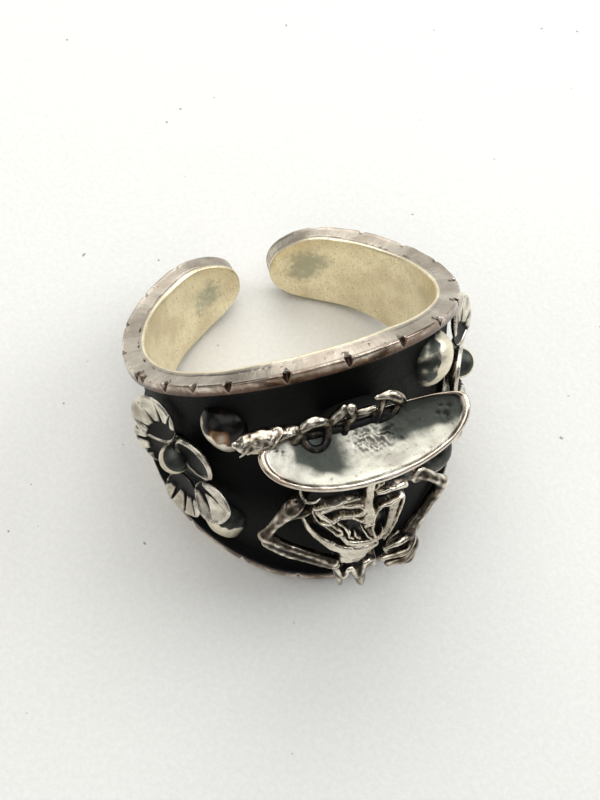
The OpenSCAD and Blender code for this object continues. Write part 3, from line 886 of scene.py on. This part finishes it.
# Painted dark reflection on the brim, held in its soot: at the right behind its front part, at the left
# within a margin, and a little towards its back all along.
edge_wave = 0.12 * waves(shape, 0.9, 25)
from_edge = (1 - np.hypot(shape[..., 0] / BRIM_A, shape[..., 1] / BRIM_B)) * 4
right_painted_dark = ease(shape[..., 1] + 1.1 + edge_wave, -0.3, 0.8) * ease(shape[..., 0], 0.3, 1.9)
left_painted_dark = 0.95 * ease(-shape[..., 0], 0.4, 2.2) * ease(from_edge + edge_wave, 0.75, 1.7)
back_painted_dark = 0.35 * ease(shape[..., 1] + edge_wave, -1.2, 0.6)
ring = np.arange(2 * BRIM_RINGS)[:, None]
lip_from, lip_to = LIP_RINGS
# The painted dark reflection, which fades out towards the lip.
dull = np.maximum(np.maximum(right_painted_dark, left_painted_dark), back_painted_dark) * ease(ring, lip_from + LIP_FADE, lip_from)
lip_part = ((ring[:-1] >= lip_from) & (ring[:-1] < lip_to)).astype(int)
hat = Casting().add(brim_place(shape), 0.34 + 0.5 * dull + 0.5 * (ring >= BRIM_RINGS), lip_part)
# A low block that fills the space between the brim's back edge and the wall.
hat.add(ball((0.6, -10.7, 6.15), (2.3, 1.1, 0.6), 30, 60), 1.0)
piece_from(hat, "hat", [brim_silver, lip_silver], 14, 2.0)


# The hat's trim: an open loop, a slanted pillar with a bar, an arch, and a feather at their left.

TRIM_PLACE = np.array([0, -11.7, 7.05])
TRIM_SLOPE = math.radians(80)
# How much thicker the bars are than their rows say: the loop, and all the others.
LOOP_GAIN = 1.05
BAR_GAIN = 1.42


def trim_place(points):
    """From the upright plane that the trim stands in, with X along the hat and Y up, to the ring frame."""
    return tipped(points, TRIM_SLOPE) + TRIM_PLACE


def loop_rows(x, y, wide, high, thin, thick):
    """Rows of a bar round an oval, from its foot up and back, thicker at its top, with its foot forward."""
    t = np.radians(np.linspace(-90, 270, 15))
    radius = thin + (thick - thin) * np.clip(np.sin(t), 0, 1) ** 1.5
    forward = 0.15 * np.sin(t) + 0.7 * np.clip(-np.sin(t), 0, 1)
    return np.stack([x + wide * np.cos(t), y + high * np.sin(t), forward, radius], -1)


# Bars of the trim. Each row: x, y, z, radius.
TRIM = [
    loop_rows(-2.12, -0.1, 0.74, 0.8, 0.22, 0.36),
    [(-0.5, -0.83, 0, 0.16), (-0.22, -0.2, 0.05, 0.13), (0.08, 0.3, 0.1, 0.17), (0.03, 0.75, 0.1, 0.22)],
    [(-1.3, -0.05, -0.15, 0.2), (-0.75, 0.42, -0.08, 0.22), (-0.25, 0.8, -0.05, 0.22)],
    [(0.1, 0.22, 0, 0.12), (0.5, 0.33, 0, 0.14), (0.95, 0.28, 0, 0.17), (1.3, 0.3, 0, 0.15)],
    [(1.25, 0.28, 0, 0.14), (1.38, -0.15, -0.05, 0.14), (1.2, -0.6, -0.1, 0.16)],
    [(1.45, -0.6, 0, 0.14), (1.75, 0.05, 0, 0.12), (1.93, 0.6, 0.05, 0.15), (2.0, 0.95, 0.1, 0.2)],
    [(1.55, 1.05, 0.1, 0.11), (2.2, 1.02, 0.15, 0.23), (2.75, 0.55, 0.12, 0.25), (2.98, 0.15, 0.1, 0.18)],
    [(2.9, 0.25, 0.1, 0.16), (2.62, -0.15, 0.05, 0.12), (2.2, -0.55, 0, 0.13), (1.6, -0.7, 0, 0.14)],
    [(-3.2, -0.2, -0.15, 0.25), (-1.5, -0.5, -0.2, 0.2), (0.5, -0.6, -0.2, 0.2), (2.6, -0.45, -0.2, 0.2)],
    [(-3.3, -0.3, -0.1, 0.3), (-2.9, 0.1, -0.1, 0.3), (-2.75, -0.4, -0.1, 0.24)],
]
trim = Casting()
for n, rows in enumerate(TRIM):
    trim.add(trim_place(bar(np.array(rows) * (1, 1, 1, BAR_GAIN if n else LOOP_GAIN), step=0.06)))
# Two knobs on top of the pillar, and the feather's rows, as in the table.
trim.add(trim_place(ball((0.02, 0.9, 0.12), (0.3, 0.3, 0.28))))
trim.add(trim_place(ball((-0.28, 1.0, 0.0), (0.18, 0.16, 0.18))))
FEATHER = [(-6.45, 0.7, 0.1, 0.2), (-6.15, 0.62, 0.1, 0.48), (-5.4, 0.5, 0.1, 0.66), (-4.6, 0.48, 0.05, 0.62),
           (-3.9, 0.45, 0, 0.48), (-3.2, 0.38, -0.05, 0.36), (-2.8, 0.3, -0.1, 0.26)]
feather = bar(FEATHER, step=0.05, sides=28)
feather += (waves(feather, 0.7, 51) + 0.25 * waves(feather, 0.3, 52))[..., None] * np.array([0, 0.026, 0.026])
trim.add(trim_place(feather))
# Five fine ridges slant over the feather.
for k in range(5):
    at = -6.3 + 0.42 * k
    trim.add(trim_place(bar([(at - 0.1, 0.15, 0.5, 0.05), (at + 0.2, 0.45, 0.66, 0.07),
                             (at + 0.6, 0.8, 0.56, 0.06)], step=0.05)))


def trim_soot(points):
    """The trim is darker right of the feather and towards its foot."""
    return 0.28 + 0.16 * ease(points[:, 0], -3.2, -2.6) + 0.5 * ease(7.4 - points[:, 2], 0, 0.9)


fused_piece(trim, "hat_trim", [relief_silver], voxel=0.05, recess=14, gain=9.0, rough=0.012,
            dark=trim_soot)


# The figure. The skull's frame is between the eyes: X across the face, Y up, Z out.

def skull_place(points):
    """From the skull's frame to the ring frame."""
    return on_wall(points, 1.3, -0.9, 11.2, -14)


def face_out(x, y):
    """How far the face stands out: most a little right of its middle, and less and less below the eyes."""
    return 1.9 + 0.1 * x - 0.1 * x ** 2 - 0.03 * np.minimum(y, 0) ** 2


# The face's outline. Each row: height, left edge, right edge.
FACE_EDGE = [(-5.3, -0.6, 1.5), (-4.4, -0.8, 1.5), (-3.8, -1.05, 1.6), (-3.45, -1.5, 1.75),
             (-3.05, -2.1, 1.9), (-2.6, -2.65, 2.05), (-2.2, -2.95, 2.15), (-1.8, -3.15, 2.2),
             (-1.2, -3.42, 2.25), (-0.5, -3.56, 2.3), (0.4, -3.4, 2.35), (1.5, -3.25, 2.35),
             (2.5, -3.15, 2.5), (3.6, -2.9, 2.6)]
FACE_DEEP = 0.55
# Ridges that stand up from the blackened ground of the face. Each: height, how far it is rubbed bright, and
# rows of x, y and half width.
RIDGES = {
    "left brow": (0.6, 1.0, [(-3.12, 0.35, 0.07), (-2.62, 0.73, 0.09), (-2.02, 1.25, 0.09),
        (-1.7, 1.6, 0.1), (-1.42, 1.85, 0.1), (-0.93, 2.08, 0.1)]),
    "left lid": (0.42, 0.4, [(-3.1, 0.2, 0.08), (-2.85, 0.3, 0.15), (-2.4, 0.68, 0.17), (-1.95, 1.18, 0.14),
        (-1.62, 1.45, 0.22), (-1.2, 1.65, 0.32), (-0.9, 1.7, 0.42), (-0.5, 1.6, 0.4)]),
    "lid edge": (0.58, 1.0, [(-2.75, 0.15, 0.07), (-2.5, 0.45, 0.08), (-2.0, 0.98, 0.09), (-1.5, 1.22, 0.1),
        (-0.85, 1.3, 0.12), (-0.55, 1.2, 0.14)]),
    "eye corner": (0.54, 1.0, [(-0.6, 1.3, 0.14), (-0.42, 1.0, 0.15), (-0.42, 0.68, 0.14),
        (-0.68, 0.46, 0.12), (-1.05, 0.45, 0.1), (-1.45, 0.28, 0.1), (-1.75, 0.0, 0.1),
        (-1.92, -0.3, 0.07)]),
    "eyeball": (0.2, 0.12, [(-2.1, 0.35, 0.16), (-1.4, 0.75, 0.24), (-0.85, 0.9, 0.22)]),
    "lower lid": (0.48, 0.85, [(-2.95, 0.2, 0.07), (-2.8, 0.02, 0.2), (-2.52, -0.24, 0.25),
        (-2.2, -0.38, 0.18), (-1.92, -0.38, 0.09)]),
    "left cheek": (0.56, 1.0, [(-3.12, 0.15, 0.07), (-2.95, -0.25, 0.08), (-2.73, -0.57, 0.08),
        (-2.48, -0.77, 0.08), (-2.2, -0.72, 0.07), (-1.98, -0.55, 0.06)]),
    "cheek loop": (0.56, 1.0, [(-2.4, -0.85, 0.07), (-2.12, -1.03, 0.09), (-1.78, -1.3, 0.09),
        (-1.42, -1.58, 0.1), (-1.24, -1.42, 0.1), (-1.35, -1.12, 0.09), (-1.62, -0.98, 0.07),
        (-1.9, -0.7, 0.07)]),
    "inside the loop": (0.34, 0.4, [(-2.1, -0.85, 0.14), (-1.75, -1.1, 0.2), (-1.5, -1.3, 0.16)]),
    "nose": (0.66, 0.8, [(-0.5, 3.5, 0.3), (-0.5, 2.9, 0.3), (-0.35, 2.1, 0.29), (-0.34, 1.65, 0.32),
        (-0.18, 1.17, 0.31), (0.02, 0.7, 0.35), (0.0, 0.3, 0.38), (-0.03, 0.1, 0.3)]),
    "nose wings": (0.58, 1.0, [(-1.93, -0.4, 0.07), (-1.75, 0.0, 0.07), (-1.45, 0.13, 0.07),
        (-1.04, 0.28, 0.07), (-0.6, 0.08, 0.08), (-0.08, -0.16, 0.08), (0.25, -0.05, 0.08),
        (0.38, 0.2, 0.07)]),
    "nose side": (0.6, 1.0, [(0.42, 0.85, 0.07), (0.35, 0.3, 0.08), (0.36, 0.0, 0.07), (0.52, -0.85, 0.07),
        (0.7, -1.4, 0.08), (0.88, -1.85, 0.09)]),
    "right brow": (0.6, 1.0, [(0.08, 2.52, 0.14), (0.6, 2.62, 0.2), (1.2, 2.65, 0.2), (1.75, 2.6, 0.22),
        (1.97, 2.55, 0.16)]),
    "under the brow": (0.3, 0.45, [(0.15, 2.1, 0.1), (0.8, 2.15, 0.14), (1.6, 2.12, 0.14),
        (1.95, 2.1, 0.1)]),
    "brow curl": (0.55, 0.9, [(-0.15, 2.75, 0.06), (-0.02, 3.1, 0.09), (0.2, 3.35, 0.1)]),
    "right lid": (0.58, 1.0, [(0.42, 0.95, 0.09), (0.55, 1.15, 0.17), (0.92, 1.26, 0.21), (1.27, 1.33, 0.2),
        (1.6, 1.43, 0.19), (1.97, 1.5, 0.12)]),
    "right cheek": (0.5, 0.72, [(1.75, 1.25, 0.28), (1.66, 0.8, 0.42), (1.7, 0.0, 0.38), (1.75, -0.9, 0.35),
        (1.65, -1.65, 0.36), (1.5, -2.3, 0.32)]),
    "right rim": (0.6, 1.0, [(2.08, 1.45, 0.09), (2.2, 0.9, 0.08), (2.2, 0.2, 0.08), (2.16, -0.45, 0.08),
        (2.1, -1.2, 0.08), (1.98, -1.95, 0.09), (1.75, -2.5, 0.09)]),
    "socket rim": (0.52, 1.0, [(1.3, -1.25, 0.06), (1.35, -1.7, 0.07), (1.25, -2.1, 0.08),
        (0.95, -2.12, 0.07)]),
    "nose bone": (0.5, 1.0, [(-0.25, -0.6, 0.06), (0.05, -1.15, 0.08), (0.35, -1.75, 0.1),
        (0.75, -2.12, 0.11)]),
    "nose tip": (0.54, 1.0, [(-0.02, -0.62, 0.09), (0.22, -0.5, 0.18), (0.42, -0.48, 0.15)]),
    "nose patch": (0.42, 0.42, [(0.28, -0.95, 0.18), (0.48, -1.3, 0.22), (0.68, -1.7, 0.18)]),
    "first tooth": (0.42, 1.0, [(-1.6, -0.55, 0.07), (-1.25, -0.8, 0.09), (-1.02, -1.15, 0.1),
        (-0.85, -1.55, 0.08)]),
    "second tooth": (0.38, 0.6, [(-1.2, -1.68, 0.1), (-0.95, -1.9, 0.14)]),
    "third tooth": (0.4, 1.0, [(-0.8, -1.35, 0.07), (-0.72, -1.85, 0.09)]),
    "fourth tooth": (0.4, 1.0, [(-0.45, -1.45, 0.08), (-0.3, -1.78, 0.1), (-0.05, -2.0, 0.1)]),
    "fifth tooth": (0.38, 1.0, [(-0.6, -1.9, 0.1), (-0.42, -2.05, 0.1)]),
    "lower lip": (0.5, 0.95, [(-1.15, -1.85, 0.13), (-0.85, -2.25, 0.22), (-0.45, -2.5, 0.28),
        (0.15, -2.62, 0.33), (0.8, -2.58, 0.36), (1.25, -2.35, 0.33), (1.5, -2.05, 0.28)]),
    "jaw": (0.56, 0.95, [(-3.44, -0.7, 0.1), (-3.22, -1.2, 0.18), (-2.87, -1.75, 0.26), (-2.5, -2.15, 0.32),
        (-2.1, -2.48, 0.37), (-1.6, -2.85, 0.41), (-1.1, -3.12, 0.43), (-0.5, -3.36, 0.44),
        (0.1, -3.46, 0.46), (0.7, -3.38, 0.47), (1.25, -3.1, 0.44)]),
    "neck": (0.46, 0.95, [(0.2, -3.8, 1.1), (0.35, -4.4, 1.05), (0.45, -5.2, 0.98)]),
    "forehead line": (0.24, 0.5, [(-2.85, 1.75, 0.05), (-2.45, 1.95, 0.05), (-2.0, 2.4, 0.05),
        (-1.9, 2.5, 0.05)]),
    "forehead": (0.2, 0.32, [(-2.4, 2.25, 0.3), (-1.7, 2.6, 0.4), (-1.2, 2.75, 0.3)]),
}
# Only points this near to a ridge's box are compared with its curve.
RIDGE_REACH = 1.2
# The face's grid: rows, columns over its front and behind it, and how far back it goes.
FACE_ROWS, FACE_COLUMNS, BACK_COLUMNS = 246, 184, 14
FACE_BACK = -0.9


def ridge_field(x, y):
    """Height and brightness of the ridges at each point: the highest of the rounded profiles
    (1 - q^4)^(1/2) round every ridge's curve, q being the distance from it over its half width."""
    height, shine = np.zeros_like(x), np.zeros_like(x)
    for top, bright, rows in RIDGES.values():
        length = np.hypot(*np.diff(np.array(rows)[:, :2], axis=0).T).sum()
        c = through(rows, max(4, int(length / 0.07)))
        low, high = c.min(0) - RIDGE_REACH, c.max(0) + RIDGE_REACH
        near = (x > low[0]) & (x < high[0]) & (y > low[1]) & (y < high[1])
        px, py = x[near], y[near]
        q = (np.hypot(px[:, None] - c[:, 0], py[:, None] - c[:, 1]) / c[:, 2]).min(1)
        lift = top * np.sqrt(np.clip(1 - q ** 4, 0, 1))
        height[near] = np.maximum(height[near], lift)
        shine[near] = np.maximum(shine[near], bright * ease(1.04 - q, 0, 0.3))
    return height, shine


def face_grid():
    """The face in rows from the neck up: each row goes across the front, over the relief, and back behind.
    Also its soot, which is uneven and close to black off the ridges."""
    y = np.linspace(FACE_EDGE[0][0], FACE_EDGE[-1][0], FACE_ROWS)[:, None]
    edge = np.array(FACE_EDGE)
    left, right = np.interp(y, edge[:, 0], edge[:, 1]), np.interp(y, edge[:, 0], edge[:, 2])
    x = left + (right - left) * np.linspace(0, 1, FACE_COLUMNS)[None, :]
    y = y + 0 * x
    spots = xyz(x, y, 0 * x)
    height, shine = ridge_field(x + 0.03 * waves(spots, 0.8, 61), y + 0.03 * waves(spots, 0.7, 62))
    z = face_out(x, y) - FACE_DEEP + height + 0.02 * waves(spots, 0.5, 63) + 0.008 * waves(spots, 0.2, 64)
    back = xyz(left + (right - left) * np.linspace(1, 0, BACK_COLUMNS)[None, :], y[:, :1], FACE_BACK)
    soot = (1 - shine) * (0.78 + 0.16 * waves(spots, 0.9, 65))
    return np.concatenate([xyz(x, y, z), back], 1), np.concatenate([soot, np.ones(back.shape[:2])], 1)


def on_face(rows):
    """Rows of x, y, lift above the face and radius, as rows of the skull's frame."""
    table = np.array(rows, float)
    table[:, 2] += face_out(table[:, 0], table[:, 1])
    return table


figure = Casting()
# Masses behind the face: the top of the skull, its middle and the neck.
figure.add(skull_place(ball((0, 3.5, -0.3), (2.7, 3.2, 1.4), 40, 60)))
figure.add(skull_place(ball((-0.3, -0.4, -0.4), (2.7, 2.8, 1.2), 30, 50)))
figure.add(skull_place(bar([(-0.1, -1.2, 0, 1.1), (0.1, -3.0, 0.1, 1.0), (0.3, -4.8, 0.0, 0.95)], sides=30)))
# A bent sliver of metal beside the face, under the brim.
figure.add(skull_place(bar(on_face([(-3.95, 1.75, 0, 0.09), (-3.8, 1.15, 0, 0.13), (-3.5, 0.85, 0, 0.13),
                                    (-3.15, 1.05, 0, 0.11), (-2.95, 1.5, 0, 0.08)]), step=0.06)))


def wall_rows(rows):
    """Rows of angle in degrees, height, distance from the axis and radius, as rows of the ring frame."""
    table = np.array(rows, float)
    return np.column_stack([polar(np.radians(table[:, 0]), table[:, 1], table[:, 2]), table[:, 3]])


OUT = (0, -1, 0)
# Bones of the arms and hands, the collar and the chest. Each row: angle, height, distance from the axis,
# radius.
BONES = [
    [(-8, -0.6, 10.9, 0.34), (-15, -0.5, 11.7, 0.3), (-20, -0.25, 12.1, 0.36)],
    [(-16.5, 0.5, 11.4, 0.5), (-18, 0.35, 11.8, 0.62), (-20, -0.1, 12, 0.5), (-22.3, -0.65, 12.1, 0.4),
     (-25, -1.35, 12.3, 0.34), (-27.2, -2, 12.4, 0.42)],
    [(-27.2, -2, 12.4, 0.42), (-22.5, -3.05, 12.3, 0.33), (-18, -3.85, 12.2, 0.31), (-13, -4.8, 12.1, 0.33),
     (-8.5, -5.8, 12, 0.4)],
    [(-26.7, -2.7, 12.4, 0.36), (-22.5, -3.75, 12.3, 0.32), (-18, -4.5, 12.2, 0.3), (-13, -5.4, 12.1, 0.3),
     (-8, -6.3, 11.9, 0.38)],
    [(10, -0.8, 10.9, 0.36), (15, -0.4, 11.5, 0.34), (18, 0, 11.8, 0.5), (22, -0.5, 12.2, 0.4),
     (24.5, -1.1, 12.5, 0.36), (27, -1.8, 12.7, 0.45)],
    [(27, -1.8, 12.7, 0.42), (25, -2.8, 12.6, 0.3), (22.8, -3.6, 12.4, 0.3), (20.5, -4.5, 12.3, 0.3),
     (18, -5.5, 12.1, 0.46)],
    [(26, -2.3, 12.5, 0.3), (23.5, -3.2, 12.3, 0.26), (21.3, -4, 12.2, 0.28), (16.8, -5.8, 12, 0.45),
     (18.8, -7.3, 12.1, 0.38)],
    [(16.5, -5.9, 12.1, 0.32), (14.5, -5.75, 12.35, 0.22), (12, -5.8, 12.3, 0.25), (10, -5.95, 12.2, 0.2),
     (8.2, -6.2, 12, 0.18)],
    [(17.5, -6.5, 12.2, 0.34), (15.5, -6.75, 12.5, 0.23), (13, -6.9, 12.5, 0.27), (10, -6.95, 12.3, 0.21),
     (7.3, -7.05, 12.1, 0.22)],
    [(18.5, -7.1, 12.2, 0.34), (16.3, -7.45, 12.5, 0.23), (14, -7.7, 12.5, 0.27), (11.3, -7.85, 12.3, 0.21),
     (8.8, -8, 12.1, 0.23)],
    [(19, -7.7, 12.1, 0.3), (17.5, -8.25, 12.3, 0.22), (16, -8.5, 12.3, 0.25), (14, -8.6, 12.2, 0.19),
     (12, -8.6, 12, 0.19)],
    [(-6.5, -6.8, 11.4, 0.5), (-7, -7.9, 11.7, 0.3), (-6.8, -8.9, 11.8, 0.18)],
    [(-1, -7.4, 11.5, 0.6), (-0.3, -8.6, 11.8, 0.42), (0, -9.45, 11.9, 0.22)],
    [(3.5, -6.4, 11.3, 0.45), (5, -7.9, 11.7, 0.22)],
    [(-8.2, -6.4, 11.9, 0.22), (-5.8, -7.7, 12.05, 0.2), (-3.4, -6.9, 12.1, 0.2), (-1, -8.1, 12.05, 0.22),
     (1.6, -6.9, 12, 0.2), (4.6, -7.2, 11.8, 0.2)],
]
for rows in BONES:
    figure.add(bar(wall_rows(rows), OUT, step=0.06, sides=16, ridge=0.12))
# A ring at the right shoulder.
shoulder = [(19.6 + 2.1 * math.cos(t), -0.1 + 0.44 * math.sin(t), 12.25, 0.13)
            for t in np.linspace(0, 2 * math.pi, 15)]
figure.add(bar(wall_rows(shoulder), OUT, step=0.06, sides=16))
# The palm behind the right fingers, and the chest. Each row: how far the middle stands out from its place,
# radii, angle, height and distance from the axis of that place.
MASSES = [(0, (1.1, 1.3, 0.45), 14.3, -7.0, 11.6), (0.6, (1.15, 1.1, 0.9), -1, -7, FIELD_R + 0.5),
          (0.4, (2.0, 2.2, 1.3), 1, -0.5, FIELD_R), (0.4, (1.6, 1.6, 1.2), -1, -5.6, FIELD_R),
          (0.3, (1.6, 3.4, 1.1), 0, -3.2, FIELD_R)]
for out, radii, angle, z, r in MASSES:
    figure.add(on_wall(ball((0, 0, out), radii, 20, 40), angle, z, r))
face, face_soot = face_grid()
fused_piece(figure, "skeleton", [relief_silver], voxel=0.085, recess=11, gain=8.0,
            rough=0.016, dark=lambda points: 0.6 + 0.1 * waves(points, 0.8, 66),
            relief=Casting().add(skull_place(face), face_soot))


# Floor, light and camera.

def paper():
    """Pale paper: a fine grain, soft patches and sparse dark specks."""
    f = Finish("pale_paper")
    grain = f.noise(0.35, 4.0, 0.7)
    fibre = f.noise(1.3, 3.0, 0.6)
    specks = f.noise(0.9, 1.0, 0.5).between(0.775, 0.8)
    colour = f.mix(grain.between(0.3, 0.8), (0.80, 0.80, 0.775), (0.86, 0.86, 0.835))
    colour = f.mix(specks * 0.7, colour, (0.2, 0.19, 0.18))
    f.feed("Base Color", colour)
    f.feed("Roughness", 0.75)
    f.feed("Specular IOR Level", 0.25)
    f.feed("Normal", f.bump(fibre, 0.03, f.bump(grain, 0.03)))
    return f.material


def make_floor():
    """A square of paper, 1.2 m wide."""
    mesh = bpy.data.meshes.new("floor")
    corners = [(0.6 * x, 0.6 * y, 0) for x, y in ((-1, -1), (1, -1), (1, 1), (-1, 1))]
    mesh.from_pydata(corners, [], [(0, 1, 2, 3)])
    floor = put("floor", mesh)
    floor.data.materials.append(paper())


# Square soft lights. Each row: name, place in metres, side in metres, power in watts, colour.
LIGHTS = [("skylight", (0.0, 0.05, 0.27), 0.34, 0.55, (1.0, 0.995, 0.97)),
          ("window", (0.05, 0.22, 0.17), 0.26, 0.48, (1.0, 0.985, 0.955)),
          ("left_wall", (-0.34, -0.02, 0.20), 0.26, 0.16, (1.0, 0.98, 0.94)),
          ("right_wall", (0.28, 0.0, 0.18), 0.22, 0.5, (0.97, 0.98, 1.0)),
          ("front_fill", (-0.05, -0.32, 0.22), 0.3, 0.14, (1.0, 0.99, 0.97))]
# The place that they all face.
LIT = Vector((0, 0, 0.005))


def make_light():
    """A dim pale world, and the lights."""
    world = bpy.data.worlds.new("studio")
    bpy.context.scene.world = world
    world.use_nodes = True
    background = world.node_tree.nodes["Background"]
    background.inputs[0].default_value = (0.93, 0.95, 1.0, 1)
    background.inputs[1].default_value = 0.12
    for name, place, size, power, colour in LIGHTS:
        light = bpy.data.lights.new(name, "AREA")
        light.shape, light.size, light.energy, light.color = "SQUARE", size, power, colour
        facing = (LIT - Vector(place)).to_track_quat("-Z", "Y").to_matrix().to_4x4()
        put(name, light).matrix_world = Matrix.Translation(place) @ facing


# The camera was fitted to the photograph. Lengths in millimetres and pixels of a picture 600 by 800.
VIEW_W, VIEW_H = 600, 800
FOCAL_PX = 1021.96
DISTANCE = 68.08
ELEVATION = math.radians(67.75)
AZIMUTH = math.radians(-24.39)
ROLL = math.radians(6.2)
MIDDLE_PX = (294.07, 363.26)
FITTED_LEAN = math.radians(20.40)
SENSOR = 36.0


def make_camera():
    """The eye sits DISTANCE from the ring's centre. The fit was made for another lean of the ring, so the eye
    is turned about the ring's centre with it."""
    ca, sa, ce, se = math.cos(AZIMUTH), math.sin(AZIMUTH), math.cos(ELEVATION), math.sin(ELEVATION)
    back = Vector((sa * ce, -ca * ce, se))
    level = Vector((ca, sa, 0))
    rise = back.cross(level)
    right = math.cos(ROLL) * level + math.sin(ROLL) * rise
    up = -math.sin(ROLL) * level + math.cos(ROLL) * rise
    side_step = (MIDDLE_PX[0] - VIEW_W / 2) / FOCAL_PX
    down_step = -(MIDDLE_PX[1] - VIEW_H / 2) / FOCAL_PX
    eye = DISTANCE * (back - right * side_step - up * down_step)
    turn = Matrix.Rotation(FITTED_LEAN - LEAN, 3, "X")
    right, up, back, eye = turn @ right, turn @ up, turn @ back, turn @ eye
    eye = (eye + Vector(CENTRE)) * MM
    camera = bpy.data.cameras.new("camera")
    camera.sensor_width = SENSOR
    camera.sensor_fit = "AUTO"
    camera.lens = FOCAL_PX * SENSOR / VIEW_H
    camera.clip_start = 0.002
    seat = put("camera", camera)
    seat.matrix_world = Matrix(((right.x, up.x, back.x, eye.x), (right.y, up.y, back.y, eye.y),
                                (right.z, up.z, back.z, eye.z), (0, 0, 0, 1)))
    bpy.context.scene.camera = seat


bpy.context.scene.view_settings.view_transform = "Standard"
make_floor()
make_light()
make_camera()
